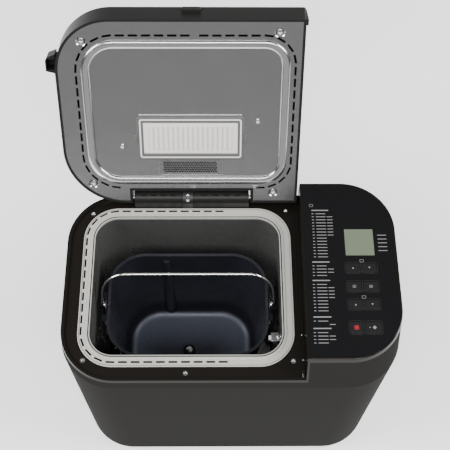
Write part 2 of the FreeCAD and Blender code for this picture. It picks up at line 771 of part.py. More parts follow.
def make_ear_rivets():
    rivets = []
    outer = ear_inner + ear_thickness
    z = pan_rim_height - rivet_drop
    for side in (-1, 1):
        for y in (-5.5, 5.5):
            shank = rod(1.55, (side * (ear_wall + 0.1), y, z), (side * outer, y, z))
            head = rod(3.0, (side * outer, y, z), (side * (outer + 1.2), y, z))
            rivet = shank.fuse(head)
            rivet.translate(V(pan_x, pan_y, 0))
            rivets.append(rivet)
    return Part.makeCompound(rivets)


def make_pan_base():
    """The ring under the pan that stands in the seat."""
    low = chamber_floor + chamber_sheet + 2.3
    high = pan_floor - pan_wall
    ring = post(pan_base_radius, shaft_x, shaft_y, low, high)
    ring = ring.cut(post(pan_base_radius - 2, shaft_x, shaft_y, low - 1, high - 2))
    hub = post(14, shaft_x, shaft_y, high - 6, high)
    return fuse_all([ring, hub]).cut(post(seal_radius + 0.1, shaft_x, shaft_y, 0, 200))


def make_shaft_seal():
    seal = post(seal_radius, shaft_x, shaft_y, pan_floor - pan_wall - 5, pan_floor + 2)
    seal = round_at(seal, pan_floor + 2, 1.0)
    return seal.cut(post(blade_shaft_radius + running_gap, shaft_x, shaft_y, 0, 200))


def make_pan_shaft():
    shaft = post(blade_shaft_radius, shaft_x, shaft_y, coupler_low + 1, pan_floor + 24)
    flat = box(shaft_x + 2.6, shaft_x + 10, shaft_y - 10, shaft_y + 10, pan_floor + 6, pan_floor + 30)
    return shaft.cut(flat)


def make_pan_coupler():
    """The cross bar under the pan that the drive coupling's lugs push."""
    hub = post(7.5, shaft_x, shaft_y, coupler_low, coupler_top)
    bar = box(shaft_x - 20, shaft_x + 20, shaft_y - 3, shaft_y + 3, coupler_low, coupler_top - 2)
    bore = post(blade_shaft_radius + 0.02, shaft_x, shaft_y, coupler_low + 1, coupler_top + 1)
    return fuse_all([hub, bar]).cut(bore)


def make_kneading_blade():
    """A hub on the shaft with one tall paddle that leans, pointing to the front at rest."""
    low = pan_floor + 2.6
    hub = post(8.5, shaft_x, shaft_y, low, low + 24)
    hub = round_at(hub, low + 24, 2.0)
    foot = Part.makePolygon([V(shaft_x - 3, shaft_y, low), V(shaft_x + 3, shaft_y, low),
                             V(shaft_x + 5, shaft_y - blade_reach, low),
                             V(shaft_x + 1, shaft_y - blade_reach - 2, low),
                             V(shaft_x - 3, shaft_y, low)])
    high = low + blade_height
    crest = Part.makePolygon([V(shaft_x - 4, shaft_y - 3, high), V(shaft_x - 1, shaft_y - 3, high),
                              V(shaft_x - 3, shaft_y - blade_reach + 8, high),
                              V(shaft_x - 6, shaft_y - blade_reach + 8, high),
                              V(shaft_x - 4, shaft_y - 3, high)])
    paddle = loft(foot, crest)
    blade = fuse_all([hub, paddle])
    bore = make_pan_shaft().common(post(20, shaft_x, shaft_y, low - 1, pan_floor + 25))
    return blade.cut(bore)


def make_pan_handle():
    """A bent wire bail. It stands up, leaning back, with its ends hooked into the ears."""
    half = pivot_x
    stub = ear_inner + 0.2
    crest = half - handle_narrowing
    route = [V(-stub, 0, 0), V(-half, 0, 0), V(-crest, 0, handle_arm), V(crest, 0, handle_arm),
             V(half, 0, 0), V(stub, 0, 0)]
    wire = bent_bar(route, [2.6, handle_corner, handle_corner, 2.6], handle_radius)
    wire.rotate(V(0, 0, 0), V(1, 0, 0), -handle_lean)
    wire.translate(V(pan_x, pan_y, pivot_height))
    return wire


# ---- drive ------------------------------------------------------------------------------------
def make_drive_shaft():
    return post(shaft_radius, shaft_x, shaft_y, belt_height - 3, coupling_low + 1)


def make_drive_coupling():
    """A disc with two lugs that stand either side of the pan's cross bar."""
    disc = post(12.5, shaft_x, shaft_y, coupling_low, coupling_low + 3)
    disc = disc.cut(post(shaft_radius + 0.02, shaft_x, shaft_y, coupling_low - 1, coupling_low + 1))
    lugs = []
    for side in (-1, 1):
        lug = box(shaft_x - 9, shaft_x + 9, shaft_y + side * 7 - 3.4, shaft_y + side * 7 + 3.4,
                  coupling_low + 3, coupler_top - 3)
        lugs.append(lug.common(post(12.5, shaft_x, shaft_y, 0, 200)))
    room = post(7.9, shaft_x, shaft_y, coupling_low + 3, 200)
    return fuse_all([disc] + lugs).cut(room)


def make_drive_bearing():
    """A flanged bush on the chassis, up through the chamber's floor."""
    low = chassis_height + chassis_thickness
    bush = post(bearing_radius, shaft_x, shaft_y, low, chamber_floor + chamber_sheet + 2)
    flange = post(bearing_radius + 9, shaft_x, shaft_y, low, low + 3)
    bore = post(shaft_radius + running_gap, shaft_x, shaft_y, 0, 200)
    return fuse_all([bush, flange]).cut(bore)


def pulley(x, y, radius, bore):
    drum = post(radius, x, y, belt_height - 1.5, belt_height + belt_width + 1.5)
    for z in (belt_height - 1.5, belt_height + belt_width + 0.3):
        drum = drum.fuse(post(radius + 2.5, x, y, z, z + 1.2))
    drum = drum.removeSplitter()
    if bore:
        drum = drum.cut(post(bore, x, y, 0, 200))
    return drum


def make_drive_pulley():
    drum = pulley(shaft_x, shaft_y, pulley_radius, shaft_radius + 0.02)
    tools = []
    for turn in range(0, 360, 60):
        angle = math.radians(turn)
        reach = (pulley_radius + shaft_radius) / 2
        tools.append(post(9, shaft_x + reach * math.cos(angle), shaft_y + reach * math.sin(angle), 0, 200))
    return cut_all(drum, tools)


def make_motor_pulley():
    drum = pulley(motor_x, motor_y, motor_pulley_radius, 0)
    return fuse_all([drum, post(motor_shaft_radius, motor_x, motor_y, belt_height, chassis_height + 30)])


def belt_outline(extra):
    """A loop round both pulleys, standing off their drums by the given amount."""
    big = pulley_radius + extra
    small = motor_pulley_radius + extra
    along = V(motor_x - shaft_x, motor_y - shaft_y, 0)
    distance = along.Length
    heading = math.atan2(along.y, along.x)
    tilt = math.acos((big - small) / distance)
    ends = []
    for side in (1, -1):
        angle = heading + side * tilt
        direction = V(math.cos(angle), math.sin(angle), 0)
        ends.append((V(shaft_x, shaft_y, belt_height) + direction * big,
                     V(motor_x, motor_y, belt_height) + direction * small))
    far_big = V(shaft_x - big * math.cos(heading), shaft_y - big * math.sin(heading), belt_height)
    far_small = V(motor_x + small * math.cos(heading), motor_y + small * math.sin(heading), belt_height)
    return Part.Wire([
        Part.LineSegment(ends[0][0], ends[0][1]).toShape(),
        Part.Arc(ends[0][1], far_small, ends[1][1]).toShape(),
        Part.LineSegment(ends[1][1], ends[1][0]).toShape(),
        Part.Arc(ends[1][0], far_big, ends[0][0]).toShape(),
    ])


def make_drive_belt():
    outer = Part.Face(belt_outline(fit_gap + belt_thickness)).extrude(V(0, 0, belt_width))
    inner = Part.Face(belt_outline(fit_gap)).extrude(V(0, 0, belt_width))
    return outer.cut(inner)


def make_motor_body():
    low = chassis_height + chassis_thickness
    body = post(motor_radius, motor_x, motor_y, low + 6, low + motor_height)
    body = round_at(body, low + motor_height, 3.0)
    flange = slab(motor_x - motor_radius - 8, motor_x + motor_radius + 8, motor_y - motor_radius + 4,
                  motor_y + motor_radius - 4, low, low + 6, 6)
    boss = post(8, motor_x, motor_y, low + motor_height, low + motor_height + 4)
    tools = [post(motor_shaft_radius + running_gap, motor_x, motor_y, 0, chassis_height + 33)]
    for x, y in motor_screw_spots:
        tools.append(post(2.1, x, y, 0, low + 8))
    for turn in range(0, 360, 30):
        cutter = box(motor_radius - 1.5, motor_radius + 3, -2, 2, low + 14, low + motor_height - 10)
        cutter.rotate(V(0, 0, 0), V(0, 0, 1), turn)
        cutter.translate(V(motor_x, motor_y, 0))
        tools.append(cutter)
    return cut_all(fuse_all([body, flange, boss]), tools)


def make_chassis_frame():
    """A steel plate on four legs, carrying the bearing, the motor and the chamber."""
    plate = slab(chassis_left, chassis_right, shaft_y - chassis_half_y, shaft_y + chassis_half_y + 8,
                 chassis_height, chassis_height + chassis_thickness, 8)
    legs = []
    for x, y in chassis_posts:
        legs.append(post(5, x, y, foot_height + wall, chassis_height))
    for x in (chassis_left + 10, ring_x + mouth_x - 26):
        for y in (shaft_y - 18, shaft_y + 18):
            legs.append(post(4, x, y, chassis_height, chamber_floor))
    frame = fuse_all([plate] + legs)
    tools = [post(shaft_radius + 1, shaft_x, shaft_y, 0, 200), post(6, motor_x, motor_y, 0, 200)]
    for x, y in motor_screw_spots:
        tools.append(post(1.7, x, y, chassis_height - 5, 200))
    for x, y in chassis_posts:
        tools.append(post(1.7, x, y, chassis_height - 16, 200))
    return cut_all(frame, tools)


def make_chassis_screws():
    screws = []
    top = chassis_height + chassis_thickness
    for x, y in motor_screw_spots:
        screws.append(screw(x, y, top + 6, 3.6, 2.2, 1.6, 9.5))
    for x, y in chassis_posts:
        screws.append(screw(x, y, top, 3.6, 2.2, 1.6, 14))
    return Part.makeCompound(screws)


# ---- electrics --------------------------------------------------------------------------------
def make_power_board():
    """An upright board on the right wall, with a relay, capacitor, transformer and heat sink."""
    wall_face = right_side - wall
    board = box(wall_face - 10, wall_face - 8.4, -52, 52, 140, 270)
    pieces = [board]
    for y in (-46, 46):
        for z in (146, 264):
            pieces.append(rod(3, (wall_face - 8.4, y, z), (wall_face, y, z)))
    pieces.append(box(wall_face - 38, wall_face - 10, 8, 44, 150, 186))
    pieces.append(box(wall_face - 28, wall_face - 10, -20, 0, 152, 180))
    pieces.append(rod(9, (wall_face - 38, -36, 168), (wall_face - 10, -36, 168)))
    for i in range(6):
        y = -44 + i * 6
        pieces.append(box(wall_face - 32, wall_face - 12, y, y + 2, 205, 250))
    pieces.append(box(wall_face - 12, wall_face - 10, -44, -12, 205, 250))
    pieces.append(box(wall_face - 22, wall_face - 10, 10, 40, 215, 228))
    pieces.append(box(wall_face - 22, wall_face - 10, 10, 40, 240, 253))
    return fuse_all(pieces)


def fascia_slab(shrink, low, high):
    left = step_x + wall + shrink
    right = right_side - shoulder_side - fascia_inset_side - shrink
    front = front_side + shoulder_front + fascia_inset_front + shrink
    back = back_side - shoulder_back - fascia_inset_side - shrink
    round_corner = corner_radius - shoulder_side - fascia_inset_side - shrink
    return slab(left, right, front, back, low, high, (1.0, round_corner, round_corner, 1.0))


def make_panel_fascia():
    sheet = fascia_slab(fit_gap / 2, panel_height - fascia_thickness, panel_height)
    tools = []
    for x0, x1, y0, y1 in key_spots.values():
        tools.append(slab(x0 - fit_gap, x1 + fit_gap, y0 - fit_gap, y1 + fit_gap, 0, panel_height + 5, 2.3))
    tools.append(box(lcd_left, lcd_left + lcd_length, lcd_front, lcd_front + lcd_depth, 0, panel_height + 5))
    return cut_all(sheet, tools)


def make_lcd_window():
    gap = fit_gap / 2
    return box(lcd_left + gap, lcd_left + lcd_length - gap, lcd_front + gap, lcd_front + lcd_depth - gap,
               panel_height - 1.8, panel_height - 0.2)


def make_lcd_module():
    return box(lcd_left + 0.5, lcd_left + lcd_length - 0.5, lcd_front + 0.5, lcd_front + lcd_depth - 0.5,
               board_top, panel_height - 1.8)


def make_control_board():
    """A board under the panel with a switch below each key, hung from the casing on pillars."""
    left = step_x + 12
    right = right_side - 16
    board = box(left, right, -78, 66, board_top - 1.6, board_top)
    pieces = [board]
    for x in (left + 4, right - 4):
        for y in (-72, 62):
            pieces.append(post(2.5, x, y, board_top, roof_low))
    for x0, x1, y0, y1 in key_spots.values():
        cx = (x0 + x1) / 2
        cy = (y0 + y1) / 2
        pieces.append(box(cx - 3, cx + 3, cy - 3, cy + 3, board_top, board_top + 3.5))
        pieces.append(post(1.6, cx, cy, board_top + 3.5, switch_top))
    pieces.append(box(left + 6, left + 22, -30, -14, board_top - 4.6, board_top - 1.6))
    return fuse_all(pieces)


def make_key(x0, x1, y0, y1):
    """A key cap with a flange below the casing, so that it can't lift out."""
    top = panel_height + 0.3
    low = roof_low - 0.4
    cap = slab(x0, x1, y0, y1, low, top, 2.0)
    cap = round_at(cap, top, 0.3)
    flange = box(x0 - key_flange, x1 + key_flange, y0 - 1.0, y1 + 1.0, low - 1.2, low)
    cx = (x0 + x1) / 2
    cy = (y0 + y1) / 2
    stem = post(2.0, cx, cy, switch_top + key_travel + 0.2, low - 1.2)
    return fuse_all([cap, flange, stem])


# ---- hinge ------------------------------------------------------------------------------------
def hinge_profile(radius, front, x0, x1):
    """A rounded cap round the pin that stands on the deck."""
    barrel = rod(radius, (x0, hinge_y, hinge_z), (x1, hinge_y, hinge_z))
    foot_back = deck_back - fit_gap
    foot = box(x0, x1, front, foot_back, deck_height, hinge_z)
    solid = fuse_all([barrel, foot])
    keep = box(x0, x1, front - 1, foot_back, deck_height, hinge_z + 50)
    keep = keep.fuse(box(x0, x1, foot_back - 1, back_side + 20, lip_height + fit_gap, hinge_z + 50))
    return solid.common(keep)


def make_hinge_covers():
    covers = []
    spans = ((notch_left + 2, bracket_x - bracket_half - 0.3), (bracket_x + bracket_half + 0.3, notch_right - 2))
    for x0, x1 in spans:
        cover = hinge_profile(hinge_cover_radius, hinge_y - hinge_cover_radius, x0, x1)
        tools = [rod(hinge_pin_radius + running_gap, (x0 - 1, hinge_y, hinge_z), (x1 + 1, hinge_y, hinge_z))]
        for i in range(4):
            x = x0 + (x1 - x0) * (i + 1) / 5
            tools.append(box(x - 3.5, x + 3.5, hinge_y - 3, hinge_y - 1.8, hinge_z + 6.5, hinge_z + 20))
        covers.append(cut_all(cover, tools))
    return Part.makeCompound(covers)


def make_hinge_bracket():
    x0 = bracket_x - bracket_half
    x1 = bracket_x + bracket_half
    saddle = hinge_profile(hinge_cover_radius + 1.0, ring_back + fit_gap, x0, x1)
    tools = [rod(hinge_pin_radius + running_gap, (x0 - 1, hinge_y, hinge_z), (x1 + 1, hinge_y, hinge_z))]
    for turn in bracket_screw_turns:
        pocket = post(2.8, 0, 0, hinge_cover_radius - 1, 30).fuse(post(1.4, 0, 0, 3.5, 30))
        pocket.rotate(V(0, 0, 0), V(1, 0, 0), turn)
        pocket.translate(V(bracket_x, hinge_y, hinge_z))
        tools.append(pocket)
    return cut_all(saddle, tools)


def make_hinge_pin():
    return rod(hinge_pin_radius, (pin_ends[0], hinge_y, hinge_z), (pin_ends[1], hinge_y, hinge_z))


# ---- lid, drawn shut and opened at the end ------------------------------------------------------
def lid_outline(inset, z):
    """The lid's outline at one height of the shut lid. It flares to the front and right as it rises."""
    rise = (z - lid_underside) / (lid_height - lid_underside)
    return outline(lid_left + inset, lid_right + lid_flare_right * rise - inset,
                   lid_front - lid_flare_front * rise + inset, lid_back - inset, z,
                   tuple(max(radius - inset, 0.5) for radius in lid_radii))


def make_lid_cover():
    outer = loft(lid_outline(0, lid_underside), lid_outline(0, lid_height))
    outer = round_at(outer, lid_height, lid_edge_radius)
    roof = lid_height - lid_wall
    notch = box(notch_left, notch_right, notch_front, lid_back + 10, 0, 500)
    room = loft(lid_outline(lid_wall, lid_underside - 1), lid_outline(lid_wall, roof))
    room = room.cut(box(notch_left - lid_wall, notch_right + lid_wall, notch_front - lid_wall, lid_back + 10, 0, 500))
    shell = outer.cut(notch).cut(room)
    bosses = []
    for x, y in lid_screw_spots:
        bosses.append(post(5, x, y, plate_z + 2.9, roof + 0.5))
    for x, y in lid_small_spots:
        bosses.append(post(4, x, y, plate_z + plate_thickness, roof + 0.5))
    tooth = box(lid_right - lid_wall, lid_right + lid_flare_right, lid_front, lid_front + 7, lid_underside, roof)
    shell = fuse_all([shell, tooth] + bosses)
    tools = [rod(hinge_pin_radius + 0.6, (pin_ends[0] - 2, hinge_y, hinge_z), (pin_ends[1] + 2, hinge_y, hinge_z))]
    for x, y in lid_screw_spots + lid_small_spots:
        tools.append(post(2.05, x, y, 0, plate_z + 14))
    tools.append(box(cover_left - fit_gap, cover_right + fit_gap, cover_front - fit_gap, cover_axis_y + 2.2,
                     lid_height - 10, lid_height + 10))
    tools.append(rod(0.96, (cover_left - 2.2, cover_axis_y, cover_axis_z), (cover_right + 2.2, cover_axis_y, cover_axis_z)))
    tools.append(box(grip_left, grip_right, lid_front - 8, grip_face + 2.5, lid_height - 14, lid_height - 8))
    tools.append(box(lid_left - 5, lid_left + 1.5, vent_front + 2, vent_back - 2, lid_height - 22, lid_height - 12))
    return cut_all(shell, tools)


def make_lid_plate():
    """The steel inner plate: a raised bead, a row of slots outside it and dished screw holes."""
    inset = lid_wall + 0.15
    high = plate_z + plate_thickness
    plate = slab(lid_left + inset, lid_right - inset, lid_front + inset, lid_back - inset, plate_z, high,
                 tuple(max(radius - inset, 0.5) for radius in lid_radii))
    plate = plate.cut(box(notch_left - inset, notch_right + inset, notch_front - inset, lid_back + 10, 0, 500))
    bead = slab(bead_left, bead_right, bead_front, bead_back, plate_z - bead_height, plate_z + 0.2, bead_radii)
    bead = bead.cut(slab(bead_left + bead_width, bead_right - bead_width, bead_front + bead_width,
                         bead_back - bead_width, 0, 500, tuple(radius - bead_width for radius in bead_radii)))
    bead = bead.makeFillet(bead_height - 0.1, edges_at(bead, plate_z - bead_height))
    holes = [post(6.0, x, y, 0, 500) for x, y in lid_screw_spots]
    dishes = []
    for x, y in lid_screw_spots:
        dish = Part.makeCone(6.8, 4.4, 2.8, V(x, y, plate_z))
        dish = dish.cut(Part.makeCone(6.0, 3.6, 2.0, V(x, y, plate_z)))
        dishes.append(dish)
    plate = fuse_all([cut_all(plate, holes), bead] + dishes)
    tools = [post(2.1, x, y, 0, 500) for x, y in lid_screw_spots + lid_small_spots]
    tools.append(box(bin_left - fit_gap, bin_right + fit_gap, bin_front - fit_gap, bin_back + fit_gap, 0, 500))
    tools.append(box(mesh_left, mesh_right, mesh_front, mesh_back, 0, 500))
    out = plate_slot_out
    legs = walk(bead_left - out, bead_right + out, bead_front - out, bead_back + out,
                tuple(radius + out for radius in bead_radii))
    total = sum(leg[0] for leg in legs)
    back_start = sum(leg[0] for leg in legs[:4])
    back_end = sum(leg[0] for leg in legs[:5])
    tools += slot_row(legs, 0, back_start + 4, slot_pitch, plate_slot_length, plate_slot_width, 0, 500)
    tools += slot_row(legs, back_end, total - slot_pitch, slot_pitch, plate_slot_length, plate_slot_width, 0, 500)
    return cut_all(plate, tools)


def make_vent_mesh():
    """A perforated steam grille in the inner plate."""
    low = plate_z
    high = plate_z + plate_thickness
    gap = fit_gap / 2
    plate = box(mesh_left + gap, mesh_right - gap, mesh_front + gap, mesh_back - gap, low, high)
    tools = []
    columns = int((mesh_right - mesh_left - 8) / mesh_pitch)
    for row in range(6):
        for i in range(columns):
            x = mesh_left + 4 + (i + (row % 2) / 2) * mesh_pitch
            y = mesh_front + 3.0 + row * 2.6
            hexagon = [V(x + 1.25 * math.cos(math.radians(60 * k + 30)), y + 1.25 * math.sin(math.radians(60 * k + 30)),
                         low - 1) for k in range(7)]
            tools.append(Part.Face(Part.makePolygon(hexagon)).extrude(V(0, 0, 5)))
    return cut_all(plate, tools)


def make_lid_screws():
    screws = []
    for x, y in lid_screw_spots:
        screws.append(flipped(screw(x, y, plate_z + 2.0, 3.3, 1.9, 1.95, 12), y, plate_z + 2.0))
    for x, y in lid_small_spots:
        screws.append(flipped(screw(x, y, plate_z, 2.8, 1.5, 1.95, 9), y, plate_z))
    return Part.makeCompound(screws)


def make_dispenser_box():
    """The bin in the lid that holds nuts or fruit, with a flange under the lid's top."""
    top = lid_height - lid_wall
    tube = box(bin_left, bin_right, bin_front, bin_back, plate_z, top - 0.6)
    flange = box(bin_left - 8, bin_right + 8, cover_front - 3, bin_back + 9, top - 2.6, top - 0.6)
    stand = box(bin_left - 8, bin_right + 8, cover_front - 3, bin_back + 9, top - 0.6, top)
    stand = stand.cut(box(bin_left - 5.5, bin_right + 5.5, cover_front - 1.5, bin_back + 7, 0, 500))
    inner = box(bin_left + bin_wall, bin_right - bin_wall, bin_front + bin_wall, bin_back - bin_wall, 0, 500)
    solid = fuse_all([tube, flange, stand]).cut(inner)
    pins = rod(1.27, (bin_left - 1, flap_axis_y, flap_axis_z), (bin_right + 1, flap_axis_y, flap_axis_z))
    return solid.cut(pins)


def make_dispenser_frame():
    """The frame round the bin's mouth, over the edge of the hole in the inner plate."""
    outer = slab(bin_left - 6, bin_right + 6, bin_front - 5, bin_back + 6, plate_z - 1.2, plate_z, 2.5)
    outer = round_at(outer, plate_z - 1.2, 0.6)
    inner = box(bin_left + bin_wall, bin_right - bin_wall, bin_front + bin_wall, bin_back - bin_wall, 0, 500)
    return outer.cut(inner)


def make_dispenser_flap():
    """The ribbed flap that lets the bin empty into the pan, with a stub pin at each end."""
    left = bin_left + bin_wall + fit_gap
    right = bin_right - bin_wall - fit_gap
    front = bin_front + bin_wall + fit_gap
    back = flap_axis_y + 0.6
    low = plate_z - 0.6
    sheet = box(left, right, front, back, low, low + 2.0)
    ribs = []
    pitch = (right - left - 2 * flap_rib_inset) / flap_rib_count
    for i in range(flap_rib_count):
        x = left + flap_rib_inset + (i + 0.5) * pitch
        rib = slab(x - pitch * 0.3, x + pitch * 0.3, front + 4, back - 5, low - 1.1, low, 0.8)
        ribs.append(rib)
    pin = rod(1.2, (bin_left + 0.2, flap_axis_y, flap_axis_z), (left + 1, flap_axis_y, flap_axis_z))
    other = rod(1.2, (right - 1, flap_axis_y, flap_axis_z), (bin_right - 0.2, flap_axis_y, flap_axis_z))
    return fuse_all([sheet, pin, other] + ribs)


def make_dispenser_cover():
    """The hinged cover over the bin, in the top of the lid."""
    sheet = box(cover_left, cover_right, cover_front, cover_axis_y + 1.5, cover_axis_z - 1.2, cover_axis_z + 1.2)
    pin = rod(0.9, (cover_left - 1.8, cover_axis_y, cover_axis_z), (cover_left + 1, cover_axis_y, cover_axis_z))
    other = rod(0.9, (cover_right - 1, cover_axis_y, cover_axis_z), (cover_right + 1.8, cover_axis_y, cover_axis_z))
    return fuse_all([sheet, pin, other])


def make_lid_grip():
    """The finger tab at the front of the lid."""
    grip = box(grip_left + 0.1, grip_right - 0.1, grip_face - 2.5, grip_face + 2.4, lid_height - 13.9, lid_height - 8.1)
    front_edges = [edge for edge in grip.Edges if abs(edge.BoundBox.YMax - (grip_face - 2.5)) < 0.01]
    return grip.makeFillet(1.5, front_edges)


def make_steam_vent():
    """A small hood on the lid's left side."""
    low = lid_height - 26
    high = lid_height - 8
    side = Part.makePolygon([V(lid_left - 0.15, vent_front, 0), V(lid_left - 10, vent_front + 4, 0),
                             V(lid_left - 12, vent_front + 8, 0), V(lid_left - 12, vent_back - 3, 0),
                             V(lid_left - 0.15, vent_back, 0), V(lid_left - 0.15, vent_front, 0)])
    hood = Part.Face(side).extrude(V(0, 0, high - low))
    hood.translate(V(0, 0, low))
    hood = hood.cut(box(lid_left - 10.5, lid_left + 5, vent_front + 6, vent_back - 5, low - 1, high - 2))
    neck = box(lid_left - 0.15, lid_left + 1.4, vent_front + 2.1, vent_back - 2.1, lid_height - 21.9, lid_height - 12.1)
    neck = neck.cut(box(lid_left - 5, lid_left + 5, vent_front + 6, vent_back - 5, lid_height - 19, lid_height - 15))
    return fuse_all([hood, neck])


def make_lid_hinge_arms():
    arms = []
    low = plate_z + plate_thickness
    top = lid_height - lid_wall
    room = loft(lid_outline(lid_wall + 0.1, low), lid_outline(lid_wall + 0.1, top))
    for x0, x1 in ((pin_ends[0] - 2, notch_left - lid_wall), (notch_right + lid_wall, pin_ends[1] + 2)):
        arm = box(x0, x1, hinge_y - 9, lid_back - lid_wall, low, top).common(room)
        bore = rod(hinge_pin_radius + running_gap, (x0 - 1, hinge_y, hinge_z), (x1 + 1, hinge_y, hinge_z))
        arms.append(arm.cut(bore))
    return Part.makeCompound(arms)


# ---- put together -------------------------------------------------------------------------------
fixed = {
    "rubber_feet": make_feet,
    "base_tray": make_base_tray,
    "outer_case": make_outer_case,
    "cord_gland": make_cord_gland,
    "top_housing": make_top_housing,
    "deck_plate": make_deck_plate,
    "housing_screws": make_housing_screws,
    "chamber_ring": make_chamber_ring,
    "oven_chamber": make_oven_chamber,
    "heater_element": make_heater,
    "heater_clips": make_heater_clips,
    "temperature_sensor": make_temperature_sensor,
    "pan_seat": make_pan_seat,
    "baking_pan": make_baking_pan,
    "pan_ears": make_pan_ears,
    "ear_rivets": make_ear_rivets,
    "pan_base": make_pan_base,
    "shaft_seal": make_shaft_seal,
    "pan_shaft": make_pan_shaft,
    "pan_coupler": make_pan_coupler,
    "kneading_blade": make_kneading_blade,
    "pan_handle": make_pan_handle,
    "drive_shaft": make_drive_shaft,
    "drive_coupling": make_drive_coupling,
    "drive_bearing": make_drive_bearing,
    "drive_pulley": make_drive_pulley,
    "motor_pulley": make_motor_pulley,
    "drive_belt": make_drive_belt,
    "motor_body": make_motor_body,
    "chassis_frame": make_chassis_frame,
    "chassis_screws": make_chassis_screws,
    "power_board": make_power_board,
    "control_board": make_control_board,
    "panel_fascia": make_panel_fascia,
    "lcd_window": make_lcd_window,
    "lcd_module": make_lcd_module,
    "hinge_covers": make_hinge_covers,
    "hinge_bracket": make_hinge_bracket,
    "hinge_pin": make_hinge_pin,
}
on_lid = {
    "lid_cover": make_lid_cover,
    "lid_plate": make_lid_plate,
    "lid_screws": make_lid_screws,
    "vent_mesh": make_vent_mesh,
    "dispenser_box": make_dispenser_box,
    "dispenser_frame": make_dispenser_frame,
    "dispenser_flap": make_dispenser_flap,
    "dispenser_cover": make_dispenser_cover,
    "lid_grip": make_lid_grip,
    "steam_vent": make_steam_vent,
    "lid_hinge_arms": make_lid_hinge_arms,
}
for name, make in fixed.items():
    parts[name] = make()
for name, spot in key_spots.items():
    parts[name] = make_key(*spot)
for name, make in on_lid.items():
    shape = make()
    shape.rotate(V(0, hinge_y, hinge_z), V(1, 0, 0), -lid_opens_deg)
    parts[name] = shape

whole = Part.makeCompound(list(parts.values())).optimalBoundingBox(False)
shift = V(-(whole.XMin + whole.XMax) / 2, -(whole.YMin + whole.YMax) / 2, 0)
os.makedirs("parts", exist_ok=True)
for name, shape in parts.items():
    shape.translate(shift)
    shape.exportStep("parts/" + name + ".step")
    print(name, "solids", len(shape.Solids), "valid", shape.isValid(), "volume", round(shape.Volume))


def opened(y, z):
    """Where a point of the shut lid is with the lid open, before the final shift."""
    point = Part.Vertex(0, y, z)
    point.rotate(V(0, hinge_y, hinge_z), V(1, 0, 0), -lid_opens_deg)
    return point.Point


print("shift", shift)
print("hinge axis", V(0, hinge_y, hinge_z) + shift)
print("flap axis", opened(flap_axis_y, flap_axis_z) + shift)
print("cover axis", opened(cover_axis_y, cover_axis_z) + shift)
print("handle axis", V(pan_x, pan_y, pivot_height) + shift)
print("shaft axis", V(shaft_x, shaft_y, 0) + shift)
print("motor axis", V(motor_x, motor_y, 0) + shift)
print("foot", V(foot_spots[0][0], foot_spots[0][1], 0) + shift)
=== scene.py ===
"""A wide-format bread machine, lid open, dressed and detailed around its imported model.

Every length is in metres. X runs to the right, Y to the back and Z up.
"""

from __future__ import annotations

import json
import logging
import math
from dataclasses import dataclass, field
from enum import Enum

import bmesh
import bpy
from mathutils import Matrix, Vector


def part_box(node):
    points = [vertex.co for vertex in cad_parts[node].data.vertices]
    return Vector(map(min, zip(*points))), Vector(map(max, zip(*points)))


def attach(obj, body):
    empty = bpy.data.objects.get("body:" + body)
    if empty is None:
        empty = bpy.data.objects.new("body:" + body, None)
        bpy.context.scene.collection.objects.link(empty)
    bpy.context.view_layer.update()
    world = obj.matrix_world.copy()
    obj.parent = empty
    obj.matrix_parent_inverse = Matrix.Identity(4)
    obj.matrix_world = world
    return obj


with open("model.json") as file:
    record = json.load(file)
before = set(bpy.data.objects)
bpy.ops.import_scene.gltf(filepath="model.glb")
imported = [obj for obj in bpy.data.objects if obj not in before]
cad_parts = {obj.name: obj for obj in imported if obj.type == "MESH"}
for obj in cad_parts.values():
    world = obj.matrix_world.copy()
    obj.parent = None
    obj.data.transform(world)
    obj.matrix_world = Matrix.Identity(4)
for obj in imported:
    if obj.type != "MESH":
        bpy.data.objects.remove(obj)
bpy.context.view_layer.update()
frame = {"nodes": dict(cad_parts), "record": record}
LOG = logging.getLogger("bread_machine")
MM = 0.001
CASE_LOW, CASE_HIGH = (Vector(corner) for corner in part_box("outer_case"))
CENTRE = Vector(((CASE_LOW.x + CASE_HIGH.x) / 2, (CASE_LOW.y + CASE_HIGH.y) / 2, 0.0))


class Grain(Enum):
    """Which way a finish's fine lines run."""

    NONE = "none"
    ALONG_X = "along_x"


